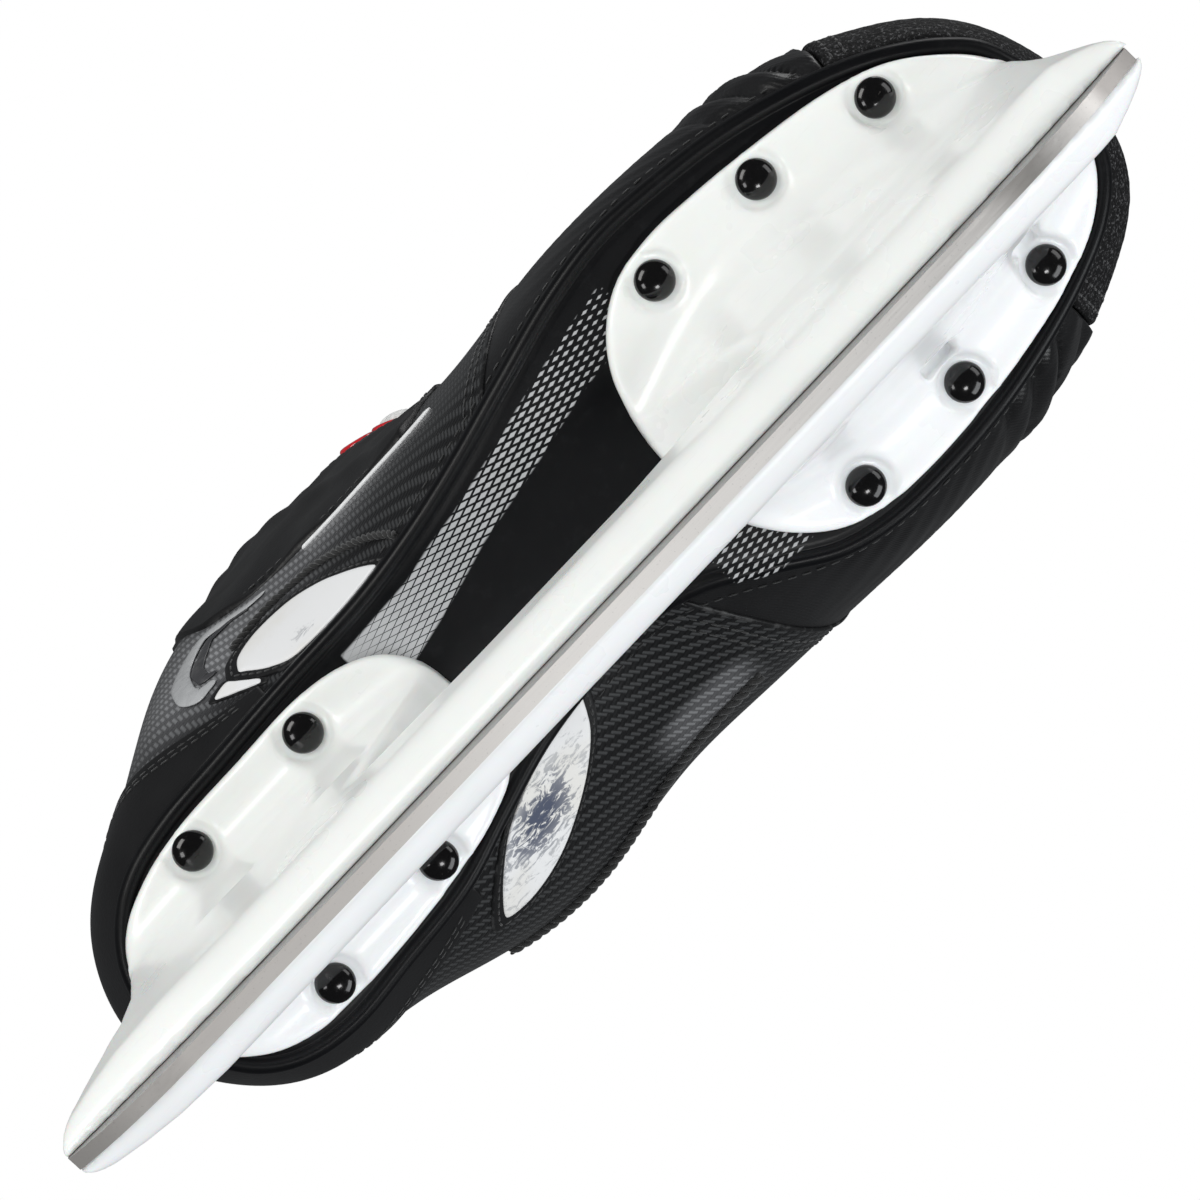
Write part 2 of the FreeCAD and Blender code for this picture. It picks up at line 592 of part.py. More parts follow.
def spline_slopes(values):
    """Slopes of a natural cubic spline on unit knots."""
    last = len(values) - 1
    right = [3 * (values[min(i + 1, last)] - values[max(i - 1, 0)]) for i in range(last + 1)]
    ratios, partial = [0.5], [right[0] / 2.0]
    for i in range(1, last + 1):
        pivot = (2.0 if i == last else 4.0) - ratios[-1]
        ratios.append(1.0 / pivot)
        partial.append((right[i] - partial[-1]) / pivot)
    slopes = [partial[-1]]
    for i in range(last - 1, -1, -1):
        slopes.insert(0, partial[i] - ratios[i] * slopes[0])
    return slopes


def spline_value(values, slopes, t):
    i = int(min(len(values) - 2, max(0, math.floor(t))))
    f = t - i
    return ((2 * f ** 3 - 3 * f ** 2 + 1) * values[i] + (f ** 3 - 2 * f ** 2 + f) * slopes[i]
            + (-2 * f ** 3 + 3 * f ** 2) * values[i + 1] + (f ** 3 - f ** 2) * slopes[i + 1])


WRAP = [GRID[(i - PAD) % COLUMNS] for i in range(COLUMNS + 2 * PAD + 1)]
# Per row and coordinate: values along the wrap, and their spline slopes
LINES = [[[column[row][axis] for column in WRAP] for axis in range(3)] for row in range(ROWS)]
SLOPES = [[spline_slopes(values) for values in row] for row in LINES]


def point(column, row):
    coords = []
    for axis in range(3):
        values = [spline_value(LINES[i][axis], SLOPES[i][axis], column + PAD)
                  for i in range(ROWS)]
        coords.append(spline_value(values, spline_slopes(values), row))
    return Vector(*coords)


def crest_blend(column):
    """1 along the crest above the toes, easing to 0 at its two ends."""
    return smooth01(min(column - CREST_START, CREST_END - column) / 0.3)


def normal(column, row):
    step = 0.02
    # the two sides close on each other at the crest, so the slope is read just below it
    row = min(row, TOP - 0.25 * crest_blend(column))
    low, high = max(0.0, row - step), min(TOP, row + step)
    across = point(column + step, row) - point(column - step, row)
    result = across.cross(point(column, high) - point(column, low))
    result.normalize()
    return result


def crest_normal(column, row):
    """Surface normal, turned to one shared by both sides where they meet on the crest."""
    result = normal(column, row)
    blend = crest_blend(column)
    if row > 4.0 and blend > 0:
        other = normal(COLUMNS - column, row)
        share = (row - 4.0) * blend
        shared = Vector((result.x + other.x) / 2, 0.0, (result.z + other.z) / 2)
        toe = smooth01((1.6 - abs(column - TOE)) / 0.8)
        shared = shared * (1 - toe) + Vector(0.15, 0.0, 0.9887) * toe
        result = result * (1 - share) + shared * share
        result.normalize()
    return result


def offset_point(column, row, distance):
    result = point(column, row) + crest_normal(column, row) * distance
    blend = crest_blend(column)
    if row > 4.0 and blend > 0:
        # both sides meet on one crest line above the toes
        mirror = COLUMNS - column
        mine = point(column, TOP) + crest_normal(column, TOP) * distance
        other = point(mirror, TOP) + crest_normal(mirror, TOP) * distance
        result = result + (other - mine) * (0.5 * (row - 4.0) ** 2 * blend)
    return result


# ---------------------------------------------------------------- solids from point grids
def bezier_poles(line, plain_ends=False):
    """Poles of a smooth cubic chain through the points."""
    last = len(line) - 1
    if plain_ends:
        first_slope, last_slope = line[1] - line[0], line[last] - line[last - 1]
    else:
        first_slope = (line[1] * 4 - line[0] * 3 - line[2]) * 0.5
        last_slope = (line[last] * 3 - line[last - 1] * 4 + line[last - 2]) * 0.5
    slopes = [(line[i + 1] - line[i - 1]) * 0.5 for i in range(1, last)]
    slopes = [first_slope] + slopes + [last_slope]
    poles = [line[0]]
    for i in range(last):
        poles += [line[i] + slopes[i] * (1 / 3.0), line[i + 1] - slopes[i + 1] * (1 / 3.0)]
    return poles + [line[last]]


def knots(count):
    return [float(i) for i in range(count)], [4] + [2] * (count - 2) + [4]


def grid_face(grid, plain_ends):
    rows = [bezier_poles(line, plain_ends) for line in grid]
    columns = [bezier_poles(list(line), plain_ends) for line in zip(*rows)]
    poles = [list(line) for line in zip(*columns)]
    u_knots, u_mults = knots(len(grid))
    v_knots, v_mults = knots(len(grid[0]))
    surface = Part.BSplineSurface()
    surface.buildFromPolesMultsKnots(poles, u_mults, v_mults, u_knots, v_knots,
                                     False, False, 3, 3)
    return surface.toShape()


def strip(first, second, plain_ends=False):
    """Ruled face between two lines of points."""
    pairs = zip(bezier_poles(first, plain_ends), bezier_poles(second, plain_ends))
    values, mults = knots(len(first))
    surface = Part.BSplineSurface()
    surface.buildFromPolesMultsKnots([list(pair) for pair in pairs], mults, [2, 2],
                                     values, [0.0, 1.0], False, False, 3, 1)
    return surface.toShape()


def patch_faces(outer, inner, sides="LRBT", plain_ends=False):
    """Both skins plus edge strips: L first column, R last column, B lowest row, T top row."""
    faces = [grid_face(outer, plain_ends), grid_face(inner, plain_ends)]
    edges = {
        "L": lambda grid: grid[0],
        "R": lambda grid: grid[-1],
        "B": lambda grid: [line[0] for line in grid],
        "T": lambda grid: [line[-1] for line in grid],
    }
    for side in sides:
        faces.append(strip(edges[side](outer), edges[side](inner), plain_ends))
    return faces


def sewn_solid(faces, label):
    compound = Part.makeCompound(faces)
    compound.sewShape()
    shell = compound.Shells[0] if compound.Shells else Part.makeShell(faces)
    solid = Part.makeSolid(shell)
    if solid.Volume < 0:
        solid.reverse()
    if not solid.isValid():
        solid.fix(1e-4, 1e-4, 1e-3)
    if not shell.isClosed():
        raise RuntimeError(label + ": the skin is open")
    return solid


# ---------------------------------------------------------------- boot panels
SHELL = size("shell_thick")
LIFT = Vector(0, 0, 0.05)                # raises the boot clear of the outsole
LOW, HIGH = size("overlay_low"), size("overlay_high")
STAY_HIGH = HIGH + 0.35                  # outer face of the eyestays
LINER_IN, LINER_OUT = -size("liner_in"), -size("liner_out")
SEAM_GAP = 0.012
CAP_START, CAP_END = TOE - 2.5, TOE + 2.5
CAP_GAP = 0.02


def lateral_seam(b, gap):
    """Column of the seam between quarter and vamp, at height share b."""
    return 7.1 + 2.1 * b ** 1.15 + gap


def medial_seam(b, gap):
    return 20.95 - 2.15 * b ** 1.15 + gap


def eased(pairs):
    """Function through (position, value) pairs, easing from each to the next."""
    def value_at(t):
        for (x0, y0), (x1, y1) in zip(pairs, pairs[1:]):
            if t <= x1:
                return y0 + (y1 - y0) * smooth01((t - x0) / (x1 - x0))
        return pairs[-1][1]
    return value_at


def region(start, end, bottom, top, low, high, across, up):
    """Outer and inner point grids of a panel between distances low and high.

    start and end are columns, or functions of the height share; bottom and top are rows,
    or functions of the share across; across and up count the grid steps.
    """
    def at(limit, t):
        return limit(t) if callable(limit) else limit

    outer, inner = [], []
    for i in range(across + 1):
        a = i / float(across)
        outer_line, inner_line = [], []
        for j in range(up + 1):
            b = j / float(up)
            column = at(start, b) + (at(end, b) - at(start, b)) * a
            row = at(bottom, a) + (at(top, a) - at(bottom, a)) * b
            outer_line.append(offset_point(column, row, high) + LIFT)
            inner_line.append(offset_point(column, row, low) + LIFT)
        outer.append(outer_line)
        inner.append(inner_line)
    return outer, inner


def make_toe_cap():
    """Two halves joined along the toe's centre line and the crest."""
    faces = []
    for start, end, sides in ((CAP_START, TOE, "LB"), (TOE, CAP_END, "RB")):
        outer, inner = region(start, end, 0.0, TOP, -SHELL, 0.6, 9, 10)
        faces += patch_faces(outer, inner, sides, plain_ends=True)
    shape_node("toe_cap", sewn_solid(faces, "toe_cap"))


# name, then the arguments of region()
PANELS = [
    ("lateral_vamp", lambda b: lateral_seam(b, SEAM_GAP), CAP_START - CAP_GAP, 0.0, TOP,
     -SHELL, 0.0, 14, 10),
    ("medial_vamp", CAP_END + CAP_GAP, lambda b: medial_seam(b, -SEAM_GAP), 0.0, TOP,
     -SHELL, 0.0, 14, 10),
    ("lateral_quarter", 0.015, lambda b: lateral_seam(b, -SEAM_GAP), 0.0, TOP,
     -SHELL, 0.0, 22, 14),
    ("medial_quarter", lambda b: medial_seam(b, SEAM_GAP), 27.985, 0.0, TOP,
     -SHELL, 0.0, 22, 14),
    ("heel_counter", -3.9, 3.9, 0.03,
     eased([(0, 0.5), (0.12, 1.25), (0.27, 2.2), (0.5, 2.6), (0.76, 2.1), (0.88, 1.25),
            (1, 0.5)]), LOW, HIGH, 26, 6),
    ("lateral_side_panel", 4.1, 6.3, eased([(0, 1.0), (0.5, 0.35), (1, 0.9)]),
     eased([(0, 1.7), (0.3, 2.15), (1, 1.15)]), LOW, HIGH, 10, 5),
    ("medial_side_panel", 22.15, 24.0, eased([(0, 0.25), (0.5, 0.75), (1, 1.3)]),
     eased([(0, 0.6), (0.6, 1.8), (1, 2.15)]), LOW, HIGH, 10, 5),
    ("lateral_eyestay", 5.1, 10.55, 4.3, 4.985, LOW, STAY_HIGH, 20, 4),
    ("medial_eyestay", 17.45, 22.9, 4.3, 4.985, LOW, STAY_HIGH, 20, 4),
    ("lateral_liner", 0.1, 7.0, 0.95, 4.93, LINER_IN, LINER_OUT, 18, 12),
    ("medial_liner", 21.0, 27.9, 0.95, 4.93, LINER_IN, LINER_OUT, 18, 12),
]


def make_patch(name, outer, inner):
    shape_node(name, sewn_solid(patch_faces(outer, inner), name))


make_toe_cap()
for panel_name, *limits in PANELS:
    make_patch(panel_name, *region(*limits))

# ---------------------------------------------------------------- tongue
# Stations up the tongue: (x, z, lateral half width, medial half width)
TONGUE = [
    (77.0, 112.6, 8.0, 8.5), (58.0, 122.5, 13.5, 14.0), (36.5, 138.5, 18.0, 18.0),
    (17.0, 163.5, 22.0, 22.0), (2.0, 189.0, 28.0, 28.0), (-5.0, 208.0, 32.0, 32.0),
    (-6.5, 226.0, 34.0, 34.0), (-4.0, 246.0, 30.0, 30.0),
]
TONGUE_MIDDLE_Y = 4.0


def tongue_grids(start, end, steps):
    """Outer and inner grids between two stations; the sides sag back from the middle."""
    splines = [(values, spline_slopes(values)) for values in zip(*TONGUE)]
    outer, inner = [], []
    for i in range(steps + 1):
        t = start + (end - start) * i / float(steps)
        x, z, lateral, medial = [spline_value(*spline, t) for spline in splines]
        dx, dz = [spline_value(*spline, t + 0.02) - spline_value(*spline, t - 0.02)
                  for spline in splines[:2]]
        length = math.hypot(dx, dz)
        forward, upward = dz / length, -dx / length
        outer_line, inner_line = [], []
        for j in range(13):
            side = -1 + 2 * j / 12.0
            half = lateral if side < 0 else medial
            y = TONGUE_MIDDLE_Y + side * half
            sag = -0.16 * half * side * side
            thick = size("tongue_thick") * (0.55 + 0.45 * math.cos(side * math.pi / 2))
            outer_line.append(Vector(x + forward * sag, y, z + upward * sag))
            back = sag - thick
            inner_line.append(Vector(x + forward * back, y, z + upward * back))
        outer.append(outer_line)
        inner.append(inner_line)
    return outer, inner


make_patch("tongue", *tongue_grids(0.0, 4.85, 16))
make_patch("tongue_top", *tongue_grids(4.93, 7.0, 8))


# ---------------------------------------------------------------- tendon guard
def tendon_guard_grids():
    """Raised tab above the top edge of the heel, highest in the middle."""
    outer, inner = [], []
    for i in range(17):
        a = -1 + 2 * i / 16.0
        column = (a * 2.75) % COLUMNS
        outward = normal(column, TOP)
        outward = Vector(outward.x, outward.y, 0)
        outward.normalize()
        base = point(column, TOP)
        rise = size("guard_rise") * (1 - abs(a) ** 2.2) + 4.0
        outer_line, inner_line = [], []
        for j in range(5):
            b = j / 4.0
            place = base + Vector(-2.5 * b * (1 - abs(a)), 0, 1.6 + rise * b)
            outer_line.append(place)
            inner_line.append(place - outward * (size("guard_thick") * (1 - 0.3 * b)))
        outer.append(outer_line)
        inner.append(inner_line)
    return outer, inner


make_patch("tendon_guard", *tendon_guard_grids())

# ---------------------------------------------------------------- eyelets
# Columns of the lateral eyelets, top of the boot first; the medial ones mirror them
EYE_COLUMNS = [5.45, 5.85, 6.3, 6.75, 7.2, 7.7, 8.25, 8.8, 9.4, 10.0]
EYE_ROW = 4.62
RIM_HIGH, BARREL = size("eyelet_high"), size("eyelet_barrel")


def eyelet(column):
    base, axis = point(column, EYE_ROW) + LIFT, normal(column, EYE_ROW)
    seat = STAY_HIGH + 0.02
    below = SHELL + 0.4
    rim = Part.makeCylinder(size("eyelet_rad"), RIM_HIGH, base + axis * seat, axis)
    barrel = Part.makeCylinder(BARREL, seat + below + RIM_HIGH, base - axis * below, axis)
    bore = Part.makeCylinder(size("eyelet_bore"), 20, base - axis * 10, axis)
    return rim.fuse(barrel).cut(bore).removeSplitter()


def eyelet_hole(column):
    base, axis = point(column, EYE_ROW) + LIFT, normal(column, EYE_ROW)
    return Part.makeCylinder(BARREL + 0.02, 16, base - axis * 11, axis)


def make_eyelets(side, columns):
    eyelets = [eyelet(column) for column in columns]
    shape_node(side + "_top_eyelets", Part.makeCompound(eyelets[:2]))
    shape_node(side + "_eyelets", Part.makeCompound(eyelets[2:]))
    holes = [eyelet_hole(column) for column in columns]
    for piece in ("_eyestay", "_quarter", "_vamp"):
        obj = NODES[side + piece]
        obj.Shape = largest_solid(obj.Shape.cut(holes))


make_eyelets("lateral", EYE_COLUMNS)
make_eyelets("medial", [COLUMNS - column for column in EYE_COLUMNS])

# ---------------------------------------------------------------- lace
EDGE_ROW = 4.98    # row where a strand passes the edge of the boot opening


def lace_strand(column):
    """Flat strand over the tongue, from a lateral eyelet to its medial partner."""
    mirror = COLUMNS - column
    start, end = point(column, EYE_ROW), point(mirror, EYE_ROW)
    start_normal, end_normal = normal(column, EYE_ROW), normal(mirror, EYE_ROW)
    start_edge, end_edge = point(column, EDGE_ROW), point(mirror, EDGE_ROW)
    start_edge_normal, end_edge_normal = normal(column, EDGE_ROW), normal(mirror, EDGE_ROW)
    both = start_normal + end_normal
    high = STAY_HIGH + RIM_HIGH + 1.1
    path = [
        start + start_normal * high,
        start_edge + start_edge_normal * (high + 0.6),
        (start_edge + end_edge) * 0.5 + Vector(both.x, 0, both.z) * 0.5 * (high + 6.5),
        end_edge + end_edge_normal * (high + 0.6),
        end + end_normal * high,
    ]
    normals = [start_normal, start_edge_normal, both, end_edge_normal, end_normal]
    wide, thick = size("lace_wide") / 2, size("lace_thick") / 2
    corners = ((-wide, -thick), (wide, -thick), (wide, thick), (-wide, thick))
    lines = [[], [], [], []]
    for i, place in enumerate(path):
        along = path[min(i + 1, 4)] - path[max(i - 1, 0)]
        along.normalize()
        up = normals[i] - along * along.dot(normals[i])
        up.normalize()
        sideways = along.cross(up)
        for line, (u, v) in zip(lines, corners):
            line.append(place + sideways * u + up * v)
    faces = [strip(lines[i], lines[(i + 1) % 4]) for i in range(4)]
    for end_index in (0, -1):
        ring = [line[end_index] for line in lines]
        faces.append(Part.Face(Part.makePolygon(ring + [ring[0]])))
    return sewn_solid(faces, "lace")


shape_node("lace", Part.makeCompound([lace_strand(column) for column in EYE_COLUMNS[1:]]))

# ---------------------------------------------------------------- checks and export
doc.recompute()
for obj in doc.Objects:
    if "Invalid" in obj.State or "Error" in obj.State:
        raise RuntimeError("failed object: " + obj.Name + " " + str(obj.State))
for name, obj in NODES.items():
    shape = obj.Shape
    if shape.isNull() or not shape.isValid() or not shape.Solids:
        raise RuntimeError("bad shape: " + name)
    if shape.Volume <= 0:
        raise RuntimeError("no volume: " + name)

os.makedirs("parts", exist_ok=True)
for old in os.listdir("parts"):
    if old.endswith(".step"):
        os.remove(os.path.join("parts", old))
for name, obj in NODES.items():
    obj.Shape.exportStep("parts/" + name + ".step")
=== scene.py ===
"""Ice skate: a laced boot on a white moulded holder that carries a steel runner.

+X points to the toe, -Y to the lateral side, +Y to the medial side and +Z up, with the ground
at z = 0. Lengths are in mm unless noted; shaders, lights and the world work in metres.
"""
import bpy
import bmesh
import math
import numpy as np
from mathutils import Vector, Matrix

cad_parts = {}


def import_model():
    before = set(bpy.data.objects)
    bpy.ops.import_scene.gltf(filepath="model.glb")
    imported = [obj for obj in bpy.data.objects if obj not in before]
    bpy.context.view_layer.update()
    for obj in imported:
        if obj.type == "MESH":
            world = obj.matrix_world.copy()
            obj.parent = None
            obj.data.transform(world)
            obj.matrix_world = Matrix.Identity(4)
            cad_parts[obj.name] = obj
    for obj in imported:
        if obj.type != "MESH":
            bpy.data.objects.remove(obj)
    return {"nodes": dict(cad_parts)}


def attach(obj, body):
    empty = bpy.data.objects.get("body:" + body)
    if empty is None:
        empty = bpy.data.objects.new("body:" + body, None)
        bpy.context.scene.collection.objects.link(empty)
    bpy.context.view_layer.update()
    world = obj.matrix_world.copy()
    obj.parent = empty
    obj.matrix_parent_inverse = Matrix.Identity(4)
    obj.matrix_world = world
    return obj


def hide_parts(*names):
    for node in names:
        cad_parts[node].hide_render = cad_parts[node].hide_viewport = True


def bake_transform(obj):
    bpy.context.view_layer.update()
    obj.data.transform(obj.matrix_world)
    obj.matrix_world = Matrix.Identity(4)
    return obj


CAD_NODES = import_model()["nodes"]
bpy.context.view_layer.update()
MM = 0.001

# The point the view is aimed at, its slope (y per z) and the distance of the eye
VIEW_X, VIEW_Y = 0.9, -3.455
VIEW_SLOPE = 0.15
VIEW_DISTANCE = 1000


# ------------------------------------------------------------------ numbers and curves
def smoothstep(t):
    t = np.clip(t, 0.0, 1.0)
    return t * t * (3 - 2 * t)


def window(value, low, high, fades):
    """1 between low and high, falling smoothly to 0 at both over the two fade lengths."""
    return smoothstep((value - low) / fades[0]) * smoothstep((high - value) / fades[1])


def ridge(value, at, size):
    return np.exp(-((value - at) / size) ** 2)


def spot(first, second, at, size):
    """A soft round spot in two coordinates."""
    return ridge(first, at[0], size[0]) * ridge(second, at[1], size[1])


def unit(vectors):
    return vectors / np.maximum(np.linalg.norm(vectors, axis=-1, keepdims=True), 1e-9)


def hermite(t, start, start_slope, end, end_slope):
    return ((2 * t ** 3 - 3 * t ** 2 + 1) * start + (t ** 3 - 2 * t ** 2 + t) * start_slope
            + (-2 * t ** 3 + 3 * t ** 2) * end + (t ** 3 - t ** 2) * end_slope)


def arc_length(points, axis=0):
    """Length run from the start of a line, or along one axis of a grid of points."""
    steps = np.linalg.norm(np.diff(points, axis=axis), axis=-1)
    return np.insert(np.cumsum(steps, axis=axis), 0, 0, axis=axis)


def interp_points(at, stations, points):
    return np.stack([np.interp(at, stations, column) for column in np.transpose(points)], -1)


def smooth_curve(points):
    """A function through (x, y) points that doesn't overshoot between them."""
    xs, ys = np.array(points, float).T
    rates = np.diff(ys) / np.diff(xs)
    slopes = np.zeros(len(xs))
    slopes[0], slopes[-1] = rates[0], rates[-1]
    for i, (before, after) in enumerate(zip(rates, rates[1:]), 1):
        if before * after > 0:
            slopes[i] = 2 * before * after / (before + after)

    def value(x):
        x = np.clip(np.asarray(x, float), xs[0], xs[-1])
        i = np.clip(np.searchsorted(xs, x, side="right") - 1, 0, len(xs) - 2)
        width = xs[i + 1] - xs[i]
        return hermite((x - xs[i]) / width, ys[i], slopes[i] * width,
                       ys[i + 1], slopes[i + 1] * width)
    return value


def closed_curve(control, per_span):
    """Points on a closed smooth curve through the control points (x, y)."""
    points = np.array(control, float)
    before, start, end, after = (np.roll(points, -k, axis=0) for k in (-1, 0, 1, 2))
    gap_in, gap, gap_out = (
        np.maximum(1e-6, np.linalg.norm(b - a, axis=1, keepdims=True)) ** 0.5
        for a, b in ((before, start), (start, end), (end, after)))
    slope_start = (start - before) / gap_in - (end - before) / (gap_in + gap) + (end - start) / gap
    slope_end = (end - start) / gap - (after - start) / (gap + gap_out) + (after - end) / gap_out
    t = np.linspace(0, 1, per_span, endpoint=False)[None, :, None]
    ends = (v[:, None] for v in (start, slope_start * gap, end, slope_end * gap))
    return hermite(t, *ends).reshape(-1, 2)


def open_curve(control, count):
    """Evenly spaced points on a smooth curve from the first control point to the last."""
    points = np.array(control, float)
    lengths = arc_length(points)
    index = np.arange(len(points))
    before, after = np.maximum(index - 1, 0), np.minimum(index + 1, len(points) - 1)
    slopes = (points[after] - points[before]) / (lengths[after] - lengths[before])[:, None]
    at = np.linspace(0, lengths[-1], count)
    k = np.clip(np.searchsorted(lengths, at, side="right") - 1, 0, len(points) - 2)
    width = (lengths[k + 1] - lengths[k])[:, None]
    return hermite((at - lengths[k])[:, None] / width, points[k], slopes[k] * width,
                   points[k + 1], slopes[k + 1] * width)


def slope_matrix(count, closed):
    """Turns values at evenly spaced stations into the slopes of the cubic spline through them."""
    left, right = np.zeros((count, count)), np.zeros((count, count))
    for i in range(count):
        before, after = (i - 1) % count, (i + 1) % count
        left[i, i] = 4
        left[i, before] = left[i, after] = 1
        right[i, after], right[i, before] = 3, -3
    if not closed:
        left[[0, -1]] = right[[0, -1]] = 0
        left[0, :2] = 2, 1
        left[-1, -2:] = 1, 2
        right[0, :2] = right[-1, -2:] = -3, 3
    return np.linalg.solve(left, right)


# Shares of an edge's width at which it gets a row of points, so that it can be rounded
EDGE_SHARES = np.array([0, 0.12, 0.3, 0.6, 1.0])


def samples(length, step, edge):
    """Positions 0..1 along a side, close together near both ends."""
    fine = EDGE_SHARES * edge / length
    margin = edge * 1.8 / length
    middle = np.linspace(margin, 1 - margin, max(3, int(length / step)))
    return np.concatenate([fine, middle, 1 - fine[::-1]])


def edge_distance(along, across, sides):
    """Distance to the nearest of the named sides: left, right, bottom, top."""
    distances = {"L": along, "R": along[-1:] - along,
                 "B": across, "T": across[:, -1:] - across}
    return np.minimum.reduce([distances[side] for side in sides])


def round_over(share):
    return np.sqrt(np.maximum(0, 1 - (1 - share) ** 2))


# ------------------------------------------------------------------ meshes
def build(name, verts, faces, mat, inner_mat=None, face_mats=None, body="boot", replaces=(),
          slot="synthetic_leather", uv=None, attrs=None, blend=None):
    mesh = bpy.data.meshes.new(name)
    mesh.from_pydata((np.asarray(verts, float) * MM).tolist(), [],
                     [list(map(int, face)) for face in faces])
    mesh.validate(clean_customdata=False)
    if uv is not None:
        layer = mesh.uv_layers.new(name="UVMap")
        loops = np.zeros(len(mesh.loops), dtype=np.int64)
        mesh.loops.foreach_get("vertex_index", loops)
        layer.data.foreach_set("uv", np.asarray(uv, float)[loops].ravel())
    for key, values in (attrs or {}).items():
        attribute = mesh.attributes.new(key, "FLOAT", "POINT")
        attribute.data.foreach_set("value", np.asarray(values, np.float32))
    obj = bpy.data.objects.new(name, mesh)
    bpy.context.scene.collection.objects.link(obj)
    mesh.materials.append(mat)
    if inner_mat:
        mesh.materials.append(inner_mat)
        mesh.polygons.foreach_set("material_index", np.asarray(face_mats, np.int32))
    mesh.polygons.foreach_set("use_smooth", [True] * len(mesh.polygons))
    bm = bmesh.new()
    bm.from_mesh(mesh)
    bmesh.ops.recalc_face_normals(bm, faces=bm.faces)
    bm.to_mesh(mesh)
    bm.free()
    if blend:
        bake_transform(obj)
    else:
        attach(obj, body)
    if replaces:
        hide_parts(*replaces)


def closed_panel(outer, inner):
    """A closed sheet from two grids of points: outer faces, then inner faces, then the rim."""
    count = outer.shape[0] * outer.shape[1]
    index = np.arange(count).reshape(outer.shape[:2])
    front = np.stack([index[:-1, :-1], index[1:, :-1], index[1:, 1:], index[:-1, 1:]], -1)
    front = front.reshape(-1, 4)
    faces = [front, (front + count)[:, ::-1]]
    for edge in (index[0, :], index[-1, ::-1], index[::-1, 0], index[:, -1]):
        here, after = edge[:-1], edge[1:]
        faces.append(np.stack([here, after, after + count, here + count], -1))
    return np.concatenate([outer.reshape(-1, 3), inner.reshape(-1, 3)]), np.concatenate(faces)


def ring_faces(rings, seg):
    """Quads between stacked rings of seg points each."""
    here = np.arange((rings - 1) * seg).reshape(-1, seg)
    after = np.roll(here, -1, axis=1)
    return np.stack([here, after, after + seg, here + seg], -1).reshape(-1, 4)


def capped_faces(rings, seg):
    caps = [list(range(seg))[::-1], list(range((rings - 1) * seg, rings * seg))]
    return ring_faces(rings, seg).tolist() + caps


def repeat_faces(faces, copies, verts_each):
    return [[v + k * verts_each for v in face] for k in range(copies) for face in faces]


def angles(seg):
    return np.linspace(0, math.tau, seg, endpoint=False)


def circle(first, second, seg):
    """Directions round the axis square to the vectors first and second."""
    turn = angles(seg)[:, None]
    return first[..., None, :] * np.cos(turn) + second[..., None, :] * np.sin(turn)


def lathe(name, profile, spots, mat, ring=False, seg=48, **kw):
    """Turned parts: profile is (radius, height); spots is a list of (origin, axis).
    A ring's profile is closed on itself; any other part gets flat caps."""
    radius, height = np.array(profile, float).T[:, :, None, None]
    verts = []
    for origin, axis in spots:
        axis = unit(np.array(axis, float))
        side = unit(np.cross(axis, [0.3, 1, 0.2]))
        verts.append(np.array(origin, float) + axis * height
                     + circle(side, np.cross(axis, side), seg) * radius)
    count = len(profile)
    if ring:
        faces = ring_faces(count + 1, seg) % (count * seg)
    else:
        faces = capped_faces(count, seg)
    build(name, np.reshape(verts, (-1, 3)), repeat_faces(faces, len(spots), count * seg), mat, **kw)


def tube(name, points, radius, mat, seg=10, flat=1.0, normals=None, **kw):
    """A cord through points, drawn in at both ends; flat squashes it along the normals."""
    tangents = unit(np.gradient(points, axis=0))
    if normals is None:
        normal = unit(np.cross(tangents[0], [0.1, 0.3, 1.0]))
        normals = [normal]
        for tangent in tangents[1:]:
            normal = normal - tangent * (normal @ tangent)
            normal = normal / np.linalg.norm(normal)
            normals.append(normal)
        normals = np.array(normals)
    else:
        normals = unit(normals - tangents * np.sum(normals * tangents, axis=1, keepdims=True))
    count = len(points)
    radii = np.broadcast_to(radius, (count,)).astype(float).copy()
    tip = max(2, min(4, count // 6))
    radii[:tip] *= np.sqrt(np.linspace(0.15, 1, tip))
    radii[-tip:] *= np.sqrt(np.linspace(1, 0.15, tip))
    rings = circle(normals * flat, np.cross(tangents, normals), seg)
    verts = points[:, None] + rings * radii[:, None, None]
    uv = np.stack([np.repeat(arc_length(points), seg), np.tile(angles(seg), count)], -1)
    build(name, verts.reshape(-1, 3), capped_faces(count, seg), mat, uv=uv, **kw)


def pad(name, middle, normals, half, edge, mat, inner_mat=None, sides="LRBT", relief=None,
        inner_relief=0.0, **kw):
    """A cushion from a grid of middle points; it thins to a round edge on the named sides.
    inner_relief is the share of the relief that the inner face repeats. Returns the outer face."""
    along, across = arc_length(middle), arc_length(middle, axis=1)
    dist = edge_distance(along, across, sides)
    inward = np.clip(dist / edge, 0, 1)
    depth = half * (round_over(inward) * 0.96 + 0.04)
    extra = (relief(dist, along, across) if relief else 0) * inward
    outer = middle + normals * (depth + extra)[..., None]
    inner = middle - normals * (depth + extra * inner_relief)[..., None]
    verts, faces = closed_panel(outer, inner)
    face_count = (middle.shape[0] - 1) * (middle.shape[1] - 1)
    face_mats = np.zeros(len(faces), int)
    face_mats[face_count:2 * face_count] = 1
    uv = np.stack([along, across], -1).reshape(-1, 2)
    build(name, verts, faces, mat, inner_mat=inner_mat, face_mats=face_mats,
          uv=np.tile(uv, (2, 1)), attrs={"edge_mm": np.tile(dist.ravel(), 2)}, **kw)
    return outer


